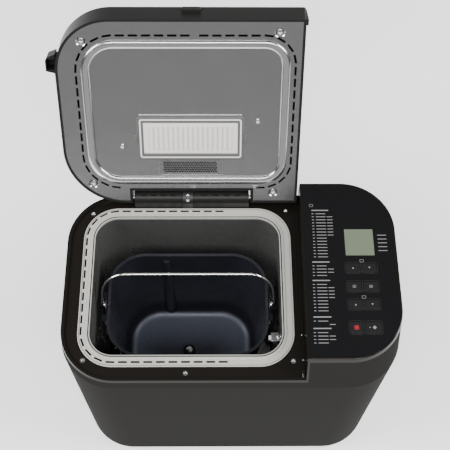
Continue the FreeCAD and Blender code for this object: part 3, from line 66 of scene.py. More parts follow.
# ---- finishes ---------------------------------------------------------------------------------
class Nodes:
    """A material's node tree, with short ways to add to it."""

    def __init__(self, name: str) -> None:
        """Start a material with one surface shader.

        Args:
            name: the material's name.
        """
        self.material = bpy.data.materials.new(name)
        self.material.use_nodes = True
        self.tree = self.material.node_tree
        self.shader = self.tree.nodes["Principled BSDF"]
        coordinates = self.tree.nodes.new("ShaderNodeTexCoord")
        self.place = coordinates.outputs["Object"]

    def set(self, socket: str, value: float | tuple) -> None:
        """Set one of the surface shader's own sockets."""
        self.shader.inputs[socket].default_value = value

    def join(self, out: bpy.types.NodeSocket, into: bpy.types.NodeSocket) -> None:
        """Link one socket to another."""
        self.tree.links.new(out, into)

    def stretched(self, scale: tuple[float, float, float]) -> bpy.types.NodeSocket:
        """Return object coordinates scaled along each axis."""
        node = self.tree.nodes.new("ShaderNodeMapping")
        node.inputs["Scale"].default_value = scale
        self.join(self.place, node.inputs["Vector"])
        return node.outputs["Vector"]

    def noise(self, size: float, detail: float = 3.0,
              where: bpy.types.NodeSocket | None = None) -> bpy.types.NodeSocket:
        """Return a noise pattern.

        Args:
            size: the size of its features.
            detail: how many finer layers it has.
            where: the coordinates it reads, or the plain object coordinates.

        Returns:
            The noise's value socket.
        """
        node = self.tree.nodes.new("ShaderNodeTexNoise")
        node.inputs["Scale"].default_value = 1.0 / size
        node.inputs["Detail"].default_value = detail
        self.join(where or self.place, node.inputs["Vector"])
        return node.outputs["Fac"]

    def spread(self, value: bpy.types.NodeSocket, low: float, high: float) -> bpy.types.NodeSocket:
        """Return a value moved from the middle of its range to between two numbers."""
        node = self.tree.nodes.new("ShaderNodeMapRange")
        node.inputs["From Min"].default_value = 0.3
        node.inputs["From Max"].default_value = 0.7
        node.inputs["To Min"].default_value = low
        node.inputs["To Max"].default_value = high
        self.join(value, node.inputs["Value"])
        return node.outputs["Result"]

    def tint(self, value: bpy.types.NodeSocket, dark: tuple, light: tuple) -> None:
        """Colour the surface between two colours by a value."""
        node = self.tree.nodes.new("ShaderNodeValToRGB")
        node.color_ramp.elements[0].position = 0.3
        node.color_ramp.elements[1].position = 0.7
        node.color_ramp.elements[0].color = (*dark, 1.0)
        node.color_ramp.elements[1].color = (*light, 1.0)
        self.join(value, node.inputs["Fac"])
        self.join(node.outputs["Color"], self.shader.inputs["Base Color"])

    def paint_sheen_below(self, height: float, gain: float) -> None:
        """Make the colour lighter below a height, fading over a few millimetres: a painted sheen on the low
        surface.
        """
        apart = self.tree.nodes.new("ShaderNodeSeparateXYZ")
        self.join(self.place, apart.inputs["Vector"])
        fade = self.tree.nodes.new("ShaderNodeMapRange")
        fade.inputs["From Min"].default_value = height
        fade.inputs["From Max"].default_value = height + 0.004
        fade.inputs["To Min"].default_value = gain
        fade.inputs["To Max"].default_value = 1.0
        self.join(apart.outputs["Z"], fade.inputs["Value"])
        scale = self.tree.nodes.new("ShaderNodeVectorMath")
        scale.operation = "SCALE"
        colour = self.shader.inputs["Base Color"].links[0].from_socket
        self.join(colour, scale.inputs[0])
        self.join(fade.outputs["Result"], scale.inputs["Scale"])
        self.join(scale.outputs["Vector"], self.shader.inputs["Base Color"])

    def bump(self, height: bpy.types.NodeSocket, depth: float, strength: float = 1.0) -> None:
        """Roughen the surface by a height pattern, over any bump already there."""
        node = self.tree.nodes.new("ShaderNodeBump")
        node.inputs["Distance"].default_value = depth
        node.inputs["Strength"].default_value = strength
        self.join(height, node.inputs["Height"])
        before = self.shader.inputs["Normal"].links
        if before:
            self.join(before[0].from_socket, node.inputs["Normal"])
        self.join(node.outputs["Normal"], self.shader.inputs["Normal"])


def shade(colour: tuple[float, float, float], by: float) -> tuple[float, float, float]:
    """Return a colour made lighter or darker by a factor."""
    return tuple(max(0.0, channel * by) for channel in colour)


@dataclass(frozen=True)
class MouldedPlastic:
    """Satin or polished plastic with the fine grain of its mould."""

    name: str
    colour: tuple[float, float, float]
    roughness: float = 0.45
    grain: float = 0.0006
    depth: float = 0.00004
    variation: float = 0.08
    coat: float = 0.0
    coat_roughness: float = 0.08
    specular: float = 0.35

    def build(self) -> bpy.types.Material:
        """Return the finish as a material."""
        nodes = Nodes(self.name)
        fine = nodes.noise(self.grain, 2.0)
        nodes.tint(fine, shade(self.colour, 1 - self.variation), shade(self.colour, 1 + self.variation))
        nodes.set("Specular IOR Level", self.specular)
        spread = nodes.spread(fine, self.roughness - 0.03, self.roughness + 0.03)
        nodes.join(spread, nodes.shader.inputs["Roughness"])
        nodes.bump(fine, self.depth)
        nodes.set("Coat Weight", self.coat)
        nodes.set("Coat Roughness", self.coat_roughness)
        return nodes.material


@dataclass(frozen=True)
class Steel:
    """Bare metal, rolled, brushed or polished."""

    name: str
    colour: tuple[float, float, float]
    roughness: float = 0.25
    grain: Grain = Grain.NONE
    line: float = 0.00025
    depth: float = 0.00001
    variation: float = 0.05

    def build(self) -> bpy.types.Material:
        """Return the finish as a material."""
        nodes = Nodes(self.name)
        nodes.set("Metallic", 1.0)
        scales = {Grain.NONE: (1.0, 1.0, 1.0), Grain.ALONG_X: (0.02, 1.0, 1.0)}
        where = nodes.stretched(scales[self.grain])
        lines = nodes.noise(self.line, 2.0, where)
        clouds = nodes.noise(0.03, 3.0)
        nodes.tint(clouds, shade(self.colour, 1 - self.variation), shade(self.colour, 1 + self.variation))
        spread = nodes.spread(lines, self.roughness - 0.05, self.roughness + 0.05)
        nodes.join(spread, nodes.shader.inputs["Roughness"])
        nodes.bump(lines, self.depth)
        return nodes.material


@dataclass(frozen=True)
class CoatedMetal:
    """Sheet metal under paint or a non-stick coating with fine flecks."""

    name: str
    colour: tuple[float, float, float]
    roughness: float = 0.35
    metallic: float = 0.3
    fleck: float = 0.0012
    fleck_gain: float = 1.5
    depth: float = 0.00003
    coat: float = 0.0
    sheen_height: float = 0.0
    sheen_gain: float = 1.0

    def build(self) -> bpy.types.Material:
        """Return the finish as a material. Below a height it is painted lighter, a painted sheen, where that
        height is given.
        """
        nodes = Nodes(self.name)
        nodes.set("Metallic", self.metallic)
        flecks = nodes.noise(self.fleck, 2.0)
        nodes.tint(flecks, shade(self.colour, 0.85), shade(self.colour, self.fleck_gain))
        if self.sheen_height:
            nodes.paint_sheen_below(self.sheen_height, self.sheen_gain)
        spread = nodes.spread(nodes.noise(0.02, 3.0), self.roughness - 0.05, self.roughness + 0.05)
        nodes.join(spread, nodes.shader.inputs["Roughness"])
        nodes.bump(nodes.noise(self.fleck, 2.0), self.depth)
        nodes.set("Coat Weight", self.coat)
        nodes.set("Coat Roughness", 0.15)
        return nodes.material


CASING = MouldedPlastic("casing_satin_plastic", (0.0195, 0.0191, 0.0178), 0.55, depth=0.00001, variation=0.10,
                        specular=0.004)
LID_SHELL = MouldedPlastic("lid_satin_plastic", (0.010, 0.0098, 0.0094), 0.38, specular=0.15)
DECK_GLOSS = MouldedPlastic("deck_gloss_plastic", (0.0065, 0.0055, 0.0045), 0.20, depth=0.00001, specular=0.3)
PANEL_GLOSS = MouldedPlastic("panel_gloss_film", (0.0045, 0.0045, 0.005), 0.18, depth=0.000006, specular=0.4)
KEY_CAPS = MouldedPlastic("key_film", (0.0085, 0.0085, 0.009), 0.30, depth=0.00001)
BLACK_PLASTIC = MouldedPlastic("black_plastic", (0.012, 0.012, 0.012), 0.45)
PRINT_WHITE = MouldedPlastic("panel_print_pale", (0.17, 0.17, 0.165), 0.5, depth=0.000002, variation=0.02)
PRINT_RED = MouldedPlastic("panel_print_red", (0.24, 0.010, 0.016), 0.5, depth=0.000002, variation=0.02)
PRINT_DARK = MouldedPlastic("panel_print_dark", (0.022, 0.022, 0.022), 0.4, depth=0.000002, variation=0.02)
RUBBER = MouldedPlastic("rubber", (0.018, 0.018, 0.018), 0.75, grain=0.0009)
IVORY = MouldedPlastic("ivory_plastic", (0.60, 0.59, 0.55), 0.42, variation=0.03)
FRAME_GREY = MouldedPlastic("frame_grey_plastic", (0.085, 0.085, 0.083), 0.35, variation=0.03)
PULLEY_PLASTIC = MouldedPlastic("pulley_plastic", (0.10, 0.10, 0.105), 0.5)
CIRCUIT_BOARD = MouldedPlastic("circuit_board", (0.02, 0.10, 0.04), 0.4, variation=0.2)
DISPLAY = MouldedPlastic("display", (0.105, 0.125, 0.088), 0.25, depth=0.000004, variation=0.03, coat=0.3)
RING_METAL = CoatedMetal("ring_light_metal", (0.46, 0.455, 0.42), 0.40, 0.3, fleck=0.0008, fleck_gain=1.04)
CHAMBER_SHEET = CoatedMetal("chamber_dark_sheet", (0.19, 0.19, 0.186), 0.30, 0.7, fleck_gain=1.12)
ELEMENT = CoatedMetal("element_sheath", (0.06, 0.055, 0.05), 0.5, 0.6)
BRIGHT_STEEL = Steel("bright_steel", (0.62, 0.62, 0.61), 0.22)
LID_STEEL = Steel("lid_rolled_steel", (0.46, 0.455, 0.465), 0.19, Grain.ALONG_X, depth=0.000003,
                  variation=0.02)
# The bead's crown: steel brighter than the plate's and brighter than chrome, a painted highlight along the
# lid's bead.
BEAD_HIGHLIGHT_STEEL = Steel("bead_painted_highlight_steel", (0.88, 0.88, 0.88), 0.13, depth=0.000002, variation=0.02)
CAST_PARTS = Steel("cast_aluminium", (0.42, 0.42, 0.42), 0.45, depth=0.00004, line=0.0008)
ZINC = Steel("zinc_plate", (0.14, 0.145, 0.145), 0.40)
MOTOR_CASE = CoatedMetal("motor_case", (0.20, 0.20, 0.205), 0.4, 0.6)
# The pan's coating is painted lighter below 97.5 mm, on its floor: a painted sheen where the floor would
# catch light.
PAN_COATING = CoatedMetal("pan_non_stick", (0.0095, 0.0105, 0.0145), 0.40, 0.2, fleck=0.0007, fleck_gain=1.6,
                          sheen_height=0.0975, sheen_gain=8.5)
WIRE_CHROME = Steel("polished_wire", (0.75, 0.75, 0.74), 0.12)

FINISHES = {
    "casing": CASING,
    "lid_shell": LID_SHELL,
    "deck_gloss": DECK_GLOSS,
    "panel_gloss": PANEL_GLOSS,
    "key_caps": KEY_CAPS,
    "black_plastic": BLACK_PLASTIC,
    "rubber": RUBBER,
    "ivory_plastic": IVORY,
    "frame_plastic": FRAME_GREY,
    "pulley_plastic": PULLEY_PLASTIC,
    "circuit_board": CIRCUIT_BOARD,
    "display_glass": DISPLAY,
    "ring_metal": RING_METAL,
    "chamber_sheet": CHAMBER_SHEET,
    "element_sheath": ELEMENT,
    "bright_steel": BRIGHT_STEEL,
    "lid_steel": LID_STEEL,
    "cast_parts": CAST_PARTS,
    "zinc_plate": ZINC,
    "motor_case": MOTOR_CASE,
    "pan_coating": PAN_COATING,
    "wire_chrome": WIRE_CHROME,
    "bead_steel": BEAD_HIGHLIGHT_STEEL,
    "print_white": PRINT_WHITE,
    "print_red": PRINT_RED,
    "print_dark": PRINT_DARK,
}


class Finisher:
    """Builds each material once and gives it to nodes and pieces by the record's slot."""

    def __init__(self) -> None:
        """Build nothing yet."""
        self.built: dict[str, bpy.types.Material] = {}

    def of(self, slot: str) -> bpy.types.Material:
        """Return the material of one of the record's slots."""
        if slot not in self.built:
            self.built[slot] = FINISHES[slot].build()
        return self.built[slot]

    def dress(self, piece: bpy.types.Object, slot: str) -> None:
        """Give one piece a slot's material all over."""
        piece.data.materials.clear()
        piece.data.materials.append(self.of(slot))

    def dress_nodes(self) -> None:
        """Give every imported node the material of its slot."""
        for subpart in frame["record"]["subparts"]:
            self.dress(frame["nodes"][subpart["node"]], subpart["material_slot"])


# ---- modelling helpers ------------------------------------------------------------------------
HINGE = Vector((0.0, 0.1175, 0.3335)) + CENTRE
LID_TURN = math.radians(-119.8)
OPEN_LID = Matrix.Translation(HINGE) @ Matrix.Rotation(LID_TURN, 4, "X") @ Matrix.Translation(-HINGE)
PANEL_TOP = 355.0
KEY_TOP = 355.3
PLATE_Z = 325.3
DECK_TOP = 320.5
# each block of the menu: its heading's middle, the top of its lines, how many lines, and its shift sideways
MENU_BLOCKS = (
    (86.8, 82.5, 15, 0.0),
    (16.5, 11.8, 4, -2.4),
    (-7.7, -12.4, 9, -3.2),
    (-54.1, -58.8, 1, -4.4),
    (-68.3, -73.0, 4, -5.2),
)


KEY_COLUMNS = (139.0, 155.5, 158.5, 175.5)
KEY_AREAS = {
    "key_time_up": (KEY_COLUMNS[0], KEY_COLUMNS[1], 2.6, 14.8),
    "key_time_down": (KEY_COLUMNS[2], KEY_COLUMNS[3], 2.6, 14.8),
    "key_size": (KEY_COLUMNS[0], KEY_COLUMNS[1], -21.7, -9.3),
    "key_crust": (KEY_COLUMNS[2], KEY_COLUMNS[3], -21.7, -9.3),
    "key_menu_up": (KEY_COLUMNS[0], KEY_COLUMNS[1], -44.6, -32.4),
    "key_menu_down": (KEY_COLUMNS[2], KEY_COLUMNS[3], -44.6, -32.4),
    "key_stop": (KEY_COLUMNS[0], KEY_COLUMNS[1] - 2.0, -74.5, -60.0),
    "key_start": (KEY_COLUMNS[2] - 1.5, KEY_COLUMNS[3], -74.5, -60.0),
}


class Side(Enum):
    """Which way a flat piece is built up from its plane."""

    UP = 1.0
    DOWN = -1.0


@dataclass
class Bench:
    """Shapes small pieces by mesh operators, sized in millimetres from the casing's footprint centre."""

    finisher: Finisher
    made: list[bpy.types.Object] = field(default_factory=list)

    def only(self, piece: bpy.types.Object) -> None:
        """Select one piece alone and make it active."""
        bpy.ops.object.select_all(action="DESELECT")
        piece.select_set(True)
        bpy.context.view_layer.objects.active = piece

    def settle(self, piece: bpy.types.Object, turn: Matrix | None = None) -> None:
        """Move a piece by a matrix and leave it at the origin, unturned and unscaled.

        Args:
            piece: the piece to move.
            turn: the matrix that carries it to where it stands, or none.
        """
        self.only(piece)
        if turn is not None:
            piece.matrix_world = turn @ piece.matrix_world
        bpy.ops.object.transform_apply(location=True, rotation=True, scale=True)

    def ease(self, piece: bpy.types.Object, width: float, segments: int = 2) -> None:
        """Round the sharp edges of a piece by a small width."""
        self.only(piece)
        modifier = piece.modifiers.new("ease", "BEVEL")
        modifier.width = width * MM
        modifier.segments = segments
        modifier.limit_method = "ANGLE"
        modifier.angle_limit = math.radians(40)
        bpy.ops.object.modifier_apply(modifier=modifier.name)

    def repeat(self, piece: bpy.types.Object, count: int, step: tuple[float, float, float]) -> None:
        """Repeat a piece's mesh along a straight row.

        Args:
            piece: the piece modelled once.
            count: how many there are.
            step: the move from one to the next.
        """
        self.only(piece)
        modifier = piece.modifiers.new("row", "ARRAY")
        modifier.use_relative_offset = False
        modifier.use_constant_offset = True
        modifier.constant_offset_displace = tuple(value * MM for value in step)
        modifier.count = count
        bpy.ops.object.modifier_apply(modifier=modifier.name)

    def finish(self, piece: bpy.types.Object, name: str, body: str, slot: str,
               look: str = "") -> bpy.types.Object:
        """Name, dress and register one finished piece.

        Args:
            piece: the piece.
            name: its name.
            body: the body it moves with.
            slot: the record's slot it belongs to.
            look: another finish to dress it in, where the slot's own is not right.

        Returns:
            The piece.
        """
        self.only(piece)
        bpy.ops.object.mode_set(mode="EDIT")
        bpy.ops.mesh.select_all(action="SELECT")
        bpy.ops.mesh.normals_make_consistent(inside=False)
        bpy.ops.object.mode_set(mode="OBJECT")
        bpy.ops.object.shade_smooth_by_angle(angle=math.radians(35))
        piece.name = name
        self.finisher.dress(piece, look or slot)
        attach(piece, body)
        self.made.append(piece)
        LOG.info("piece %s rides on %s", name, body)
        return piece

    def tile(self, x0: float, x1: float, y0: float, y1: float, z: float, height: float, corner: float,
             side: Side = Side.UP, ease: float = 0.0) -> bpy.types.Object:
        """Return a flat rounded plate.

        Args:
            x0: left side.
            x1: right side.
            y0: front side.
            y1: back side.
            z: the plane it stands on.
            height: its thickness.
            corner: the radius of its corners.
            side: which way it is built up.
            ease: the rounding of its edges.
        """
        bpy.ops.object.select_all(action="DESELECT")
        centre = Vector(((x0 + x1) / 2, (y0 + y1) / 2, z)) * MM + CENTRE
        bpy.ops.mesh.primitive_plane_add(size=1, location=centre)
        piece = bpy.context.object
        bpy.ops.object.mode_set(mode="EDIT")
        bpy.ops.transform.resize(value=((x1 - x0) * MM, (y1 - y0) * MM, 1))
        bpy.ops.mesh.bevel(offset=corner * MM, segments=5, affect="VERTICES")
        bpy.ops.mesh.extrude_region_move(TRANSFORM_OT_translate={"value": (0, 0, height * MM * side.value)})
        bpy.ops.object.mode_set(mode="OBJECT")
        if ease:
            self.ease(piece, ease)
        self.settle(piece)
        return piece

    def corners(self, piece: bpy.types.Object, left: float, right: float) -> None:
        """Round the corners of a plane in edit mode, the left pair and the right pair by their own radii."""
        for sign, radius in ((-1, left), (1, right)):
            mesh = bmesh.from_edit_mesh(piece.data)
            mesh.select_mode = {"VERT"}
            for vert in mesh.verts:
                vert.select_set(vert.co.x * sign > 0)
            mesh.select_flush_mode()
            bmesh.update_edit_mesh(piece.data)
            bpy.ops.mesh.bevel(offset=radius * MM, segments=16, affect="VERTICES")

    def hoop(self, x0: float, x1: float, y0: float, y1: float, z: float, height: float, corner: float,
             width: float, side: Side = Side.UP, ease: float = 0.0,
             right_corner: float = 0.0) -> bpy.types.Object:
        """Return a rounded frame: a band of one width inside a rounded rectangle.

        Args:
            x0: left side.
            x1: right side.
            y0: front side.
            y1: back side.
            z: the plane it stands on.
            height: its thickness.
            corner: the radius of its outer corners.
            width: the width of the band.
            side: which way it is built up.
            ease: the rounding of its edges.
            right_corner: the radius of the right corners, where it differs.
        """
        bpy.ops.object.select_all(action="DESELECT")
        centre = Vector(((x0 + x1) / 2, (y0 + y1) / 2, z)) * MM + CENTRE
        bpy.ops.mesh.primitive_plane_add(size=1, location=centre)
        piece = bpy.context.object
        bpy.ops.object.mode_set(mode="EDIT")
        bpy.ops.transform.resize(value=((x1 - x0) * MM, (y1 - y0) * MM, 1))
        self.corners(piece, corner, right_corner or corner)
        bpy.ops.mesh.select_all(action="SELECT")
        bpy.ops.mesh.inset(thickness=width * MM)
        bpy.ops.mesh.delete(type="FACE")
        bpy.ops.mesh.select_all(action="SELECT")
        bpy.ops.mesh.extrude_region_move(TRANSFORM_OT_translate={"value": (0, 0, height * MM * side.value)})
        bpy.ops.object.mode_set(mode="OBJECT")
        if ease:
            self.ease(piece, ease)
        self.settle(piece)
        return piece

    def prism(self, x: float, y: float, z: float, radius: float, height: float, sides: int, turn: float = 0.0,
              side: Side = Side.UP, step: float = 0.0, ease: float = 0.0) -> bpy.types.Object:
        """Return a low many-sided stud, with a smaller raised middle where it is stepped.

        Args:
            x: its centre.
            y: its centre.
            z: the plane it stands on.
            radius: its radius.
            height: its height.
            sides: how many sides it has.
            turn: how far it is turned, in degrees.
            side: which way it is built up.
            step: the inset of a second, higher step, or none.
            ease: the rounding of its edges.
        """
        bpy.ops.object.select_all(action="DESELECT")
        centre = Vector((x, y, z)) * MM + CENTRE
        bpy.ops.mesh.primitive_circle_add(vertices=sides, radius=radius * MM, fill_type="NGON",
                                          location=centre, rotation=(0, 0, math.radians(turn)))
        piece = bpy.context.object
        up = (0, 0, height * MM * side.value)
        bpy.ops.object.mode_set(mode="EDIT")
        bpy.ops.mesh.extrude_region_move(TRANSFORM_OT_translate={"value": up})
        if step:
            bpy.ops.mesh.inset(thickness=step * MM)
            bpy.ops.mesh.extrude_region_move(TRANSFORM_OT_translate={"value": up})
        bpy.ops.object.mode_set(mode="OBJECT")
        if ease:
            self.ease(piece, ease)
        self.settle(piece)
        return piece

    def tube(self, start: tuple, end: tuple, radius: float, bore: float) -> bpy.types.Object:
        """Return a short straight tube with a recessed end, between two points."""
        first = Vector(start) * MM + CENTRE
        last = Vector(end) * MM + CENTRE
        length = (last - first).length
        bpy.ops.object.select_all(action="DESELECT")
        bpy.ops.mesh.primitive_circle_add(vertices=24, radius=radius * MM, fill_type="NGON",
                                          location=(0, 0, 0))
        piece = bpy.context.object
        bpy.ops.object.mode_set(mode="EDIT")
        bpy.ops.mesh.extrude_region_move(TRANSFORM_OT_translate={"value": (0, 0, length)})
        bpy.ops.mesh.inset(thickness=(radius - bore) * MM)
        bpy.ops.mesh.extrude_region_move(TRANSFORM_OT_translate={"value": (0, 0, -length * 0.3)})
        bpy.ops.object.mode_set(mode="OBJECT")
        turn = Matrix.Translation(first) @ (last - first).to_track_quat("Z", "Y").to_matrix().to_4x4()
        self.settle(piece, turn)
        return piece

    def merge(self, pieces: list[bpy.types.Object]) -> bpy.types.Object:
        """Join several pieces of one finish into one."""
        bpy.ops.object.select_all(action="DESELECT")
        for piece in pieces:
            piece.select_set(True)
        bpy.context.view_layer.objects.active = pieces[0]
        bpy.ops.object.join()
        return pieces[0]

    def copy(self, piece: bpy.types.Object, move: tuple[float, float, float]) -> bpy.types.Object:
        """Return a copy of a piece with its own mesh, moved."""
        twin = piece.copy()
        twin.data = piece.data.copy()
        bpy.context.collection.objects.link(twin)
        twin.location = Vector(move) * MM
        self.settle(twin)
        return twin


# ---- the machine's details --------------------------------------------------------------------
@dataclass
class PanelPrint:
    """The print on the panel: a menu column, headings, a bezel round the display and key marks."""

    bench: Bench
    list_left: float = 101.0
    heading_length: float = 21.0
    line_pitch: float = 4.2
    line_height: float = 0.85
    ink: float = 0.06

    def lines(self, x0: float, x1: float, top: float, count: int, height: float) -> bpy.types.Object:
        """Return a column of short printed lines."""
        bar = self.bench.tile(x0, x1, top - height, top, PANEL_TOP, self.ink, height * 0.3)
        self.bench.repeat(bar, count, (0, -self.line_pitch, 0))
        return bar

    def menu(self) -> None:
        """Print the menu's headings and lines as bars, each block a little left of the one before."""
        bench = self.bench
        bars = []
        for _, top, count, shift in MENU_BLOCKS:
            left = self.list_left + shift
            bars.append(self.lines(left, left + 2.6, top, count, self.line_height))
            bars.append(self.lines(left + 5.0, left + 17.0, top, count, self.line_height))
            longer = max(count // 2, 1)
            bars.append(self.lines(left + 18.5, left + 25.5, top - self.line_pitch, longer, self.line_height))
        bench.finish(bench.merge(bars), "panel_menu_lines", "housing", "panel_gloss", "print_white")
        heads = []
        for middle, _, _, shift in MENU_BLOCKS:
            left = self.list_left + shift
            heads.append(bench.tile(left, left + self.heading_length, middle - 0.7, middle + 0.7, PANEL_TOP,
                                    self.ink, 0.4))
        bench.finish(bench.merge(heads), "panel_menu_headings", "housing", "panel_gloss", "print_white")

    def display(self) -> None:
        """Frame the display and print its side labels."""
        bench = self.bench
        bezel = bench.hoop(138.0, 176.6, 23.6, 62.0, PANEL_TOP, 0.35, 2.4, 1.5, ease=0.12)
        bench.finish(bezel, "display_bezel", "housing", "panel_gloss")
        labels = bench.tile(180.0, 191.0, 52.0, 52.9, PANEL_TOP, self.ink, 0.3)
        bench.repeat(labels, 5, (0, -5.2, 0))
        bench.finish(labels, "display_labels", "housing", "panel_gloss", "print_white")

    def keys(self) -> None:
        """Outline each key and put a plain mark on it."""
        bench = self.bench
        outlines = []
        for x0, x1, y0, y1 in KEY_AREAS.values():
            outlines.append(bench.hoop(x0 - 1.4, x1 + 1.4, y0 - 1.4, y1 + 1.4, PANEL_TOP, self.ink, 3.0, 0.3))
        bench.finish(bench.merge(outlines), "key_outlines", "housing", "panel_gloss", "print_dark")
        emblems = []
        for x, y in ((158.4, 18.0), (157.6, -29.0), (100.9, 93.7)):
            emblems.append(bench.hoop(x - 2.4, x + 2.4, y - 1.8, y + 1.8, PANEL_TOP, self.ink, 0.8, 0.4))
        bench.finish(bench.merge(emblems), "panel_emblems", "housing", "panel_gloss", "print_white")
        for name, (x0, x1, y0, y1) in KEY_AREAS.items():
            x, y = (x0 + x1) / 2, (y0 + y1) / 2
            if name.endswith("_up"):
                mark = bench.prism(x, y - 0.5, KEY_TOP, 1.5, self.ink, 3, 0.0)
            elif name.endswith("_down"):
                mark = bench.prism(x, y + 0.5, KEY_TOP, 1.5, self.ink, 3, 180.0)
            elif name == "key_stop":
                ring = bench.hoop(x - 2.7, x + 2.7, y - 2.7, y + 2.7, KEY_TOP, self.ink, 1.2, 0.7)
                middle = bench.tile(x - 1.5, x + 1.5, y - 1.5, y + 1.5, KEY_TOP, self.ink, 0.4)
                mark = bench.merge([ring, middle])
            elif name == "key_start":
                gem = bench.prism(x + 1.0, y, KEY_TOP, 2.4, self.ink, 4, 0.0)
                mark = bench.merge([gem, bench.prism(x - 4.5, y, KEY_TOP, 0.7, self.ink, 20)])
            else:
                ring = bench.hoop(x - 1.9, x + 1.9, y - 1.7, y + 1.7, KEY_TOP, self.ink, 0.6, 0.4)
                middle = bench.tile(x - 0.8, x + 0.8, y - 0.4, y + 0.4, KEY_TOP, self.ink, 0.2)
                mark = bench.merge([ring, middle])
            look = "print_red" if name == "key_stop" else "print_white"
            bench.finish(mark, f"{name}_mark", name, "key_caps", look)

    def build(self) -> None:
        """Print the whole panel."""
        self.menu()
        self.display()
        self.keys()


@dataclass
class DeckDetails:
    """The rolled edges of the chamber's ring and the small fittings of the deck beside the step."""

    bench: Bench
    ring: tuple[float, float, float, float] = (-183.7, 76.9, -103.3, 107.5)

    def ring_edges(self) -> None:
        """Roll the ring's outer hem and the bead round its mouth, with dark lines of painted shade in the
        grooves beside them.
        """
        bench = self.bench
        x0, x1, y0, y1 = self.ring
        hem = bench.hoop(x0 + 0.2, x1 - 0.2, y0 + 0.2, y1 - 0.2, DECK_TOP + 0.7, 0.8, 42.8, 1.3, ease=0.3)
        bench.finish(hem, "ring_outer_hem", "housing", "ring_metal")
        # Two thin dark hoops, one outside the mouth bead and one inside the hem: painted shade where the
        # grooves fall dark.
        groove_shade = bench.hoop(x0 + 9.4, x1 - 9.4, y0 + 9.4, y1 - 9.4, DECK_TOP + 0.7, 0.3, 33.6, 0.9)
        line = bench.hoop(x0 + 1.7, x1 - 1.7, y0 + 1.7, y1 - 1.7, DECK_TOP + 0.7, 0.25, 41.3, 0.5)
        bench.finish(bench.merge([groove_shade, line]), "ring_groove_shade_lines", "housing", "ring_metal", "frame_plastic")
        mouth = bench.hoop(x0 + 11.6, x1 - 11.6, y0 + 11.6, y1 - 11.6, DECK_TOP + 0.7, 1.0,
                           31.4, 3.0, ease=0.45)
        bench.finish(mouth, "ring_mouth_bead", "housing", "ring_metal")

    def strip(self) -> None:
        """Line the strip between the ring and the step, with its latch seat and catches."""
        bench = self.bench
        rail = bench.tile(79.2, 80.0, -86.0, 96.0, DECK_TOP, 0.5, 0.3, ease=0.12)
        second = bench.copy(rail, (3.2, 0, 0))
        bench.finish(bench.merge([rail, second]), "deck_strip_rails", "housing", "deck_gloss")
        seat = bench.hoop(82.2, 87.2, -120.4, -108.4, DECK_TOP, 1.4, 1.0, 0.9, ease=0.3)
        bench.finish(seat, "latch_seat", "housing", "deck_gloss")
        tongue = bench.tile(83.6, 86.0, -117.6, -111.2, DECK_TOP, 1.0, 0.8, ease=0.3)
        bench.finish(tongue, "latch_tongue", "housing", "bright_steel")
        pin = bench.prism(85.6, -64.0, DECK_TOP, 1.2, 1.0, 18, step=0.4, ease=0.2)
        pins = bench.merge([pin, bench.copy(pin, (0.4, -31.0, 0))])
        bench.finish(pins, "deck_catch_pins", "housing", "bright_steel")

    def build(self) -> None:
        """Build the deck's details."""
        self.ring_edges()
        self.strip()


@dataclass
class LidDetails:
    """Small raised parts on the lid's inner plate and round its dispenser, drawn with the lid shut."""

    bench: Bench
    bin_centre: float = -48.0
    bin_front: float = 6.0
    bin_back: float = 52.0
    bin_half: float = 62.0
    crown: tuple[float, float, float, float] = (-172.2, 67.3, -94.2, 90.5)
    crown_drop: float = 2.6

    def put(self, piece: bpy.types.Object, name: str, slot: str, look: str = "") -> None:
        """Open a shut-lid piece with the lid and register it."""
        self.bench.settle(piece, OPEN_LID)
        self.bench.finish(piece, name, "lid", slot, look)

    def bead(self) -> None:
        """Lay a band of brighter steel on the crown of the plate's pressed bead: a painted highlight."""
        x0, x1, y0, y1 = self.crown
        crown = self.bench.hoop(x0, x1, y0, y1, PLATE_Z - self.crown_drop, 0.25, 37.7, 6.2,
                                Side.DOWN, 0.1, 28.7)
        self.put(crown, "bead_crown", "lid_steel", "bead_steel")

    def grille(self) -> None:
        """Frame the grille behind the dispenser with a pressed border."""
        x, y = self.bin_centre, self.bin_back + 7.2
        border = self.bench.hoop(x - 40, x + 40, y - 2.2, y + 21.2, PLATE_Z, 0.7, 4.0, 1.3, Side.DOWN, 0.25)
        self.put(border, "grille_border", "lid_steel")

    def dispenser(self) -> None:
        """Give the dispenser its side clips, its surround and its front lip."""
        bench, x = self.bench, self.bin_centre
        middle = (self.bin_front + self.bin_back) / 2
        clip = bench.tile(x - 69.0, x - 64.5, middle - 5.0, middle + 5.0, PLATE_Z, 2.4, 1.4, Side.DOWN, 0.5)
        pair = bench.merge([clip, bench.copy(clip, (133.5, 0, 0))])
        self.put(pair, "dispenser_clips", "frame_plastic")
        front, back = self.bin_front, self.bin_back
        surround = bench.hoop(x - self.bin_half, x + self.bin_half, front - 3.6, back + 3.6, PLATE_Z,
                              1.3, 3.4, 2.4, Side.DOWN, 0.5)
        self.put(surround, "flap_surround", "ivory_plastic")
        lip = bench.tile(x - self.bin_half, x + self.bin_half, front - 9.4, front - 7.6, PLATE_Z,
                         1.0, 0.8, Side.DOWN, 0.35)
        self.put(lip, "dispenser_lip", "lid_steel")

    def plate_marks(self) -> None:
        """Press two small plain marks into the plate beside the hinge."""
        bench = self.bench
        mark = bench.hoop(-50.0, -42.0, 95.4, 98.2, PLATE_Z, 0.25, 1.0, 0.4, Side.DOWN)
        pair = bench.merge([mark, bench.copy(mark, (78.0, 0, 0))])
        self.put(pair, "plate_marks", "lid_steel")

    def build(self) -> None:
        """Build the lid's details."""
        self.bead()
        self.grille()
        self.dispenser()
        self.plate_marks()


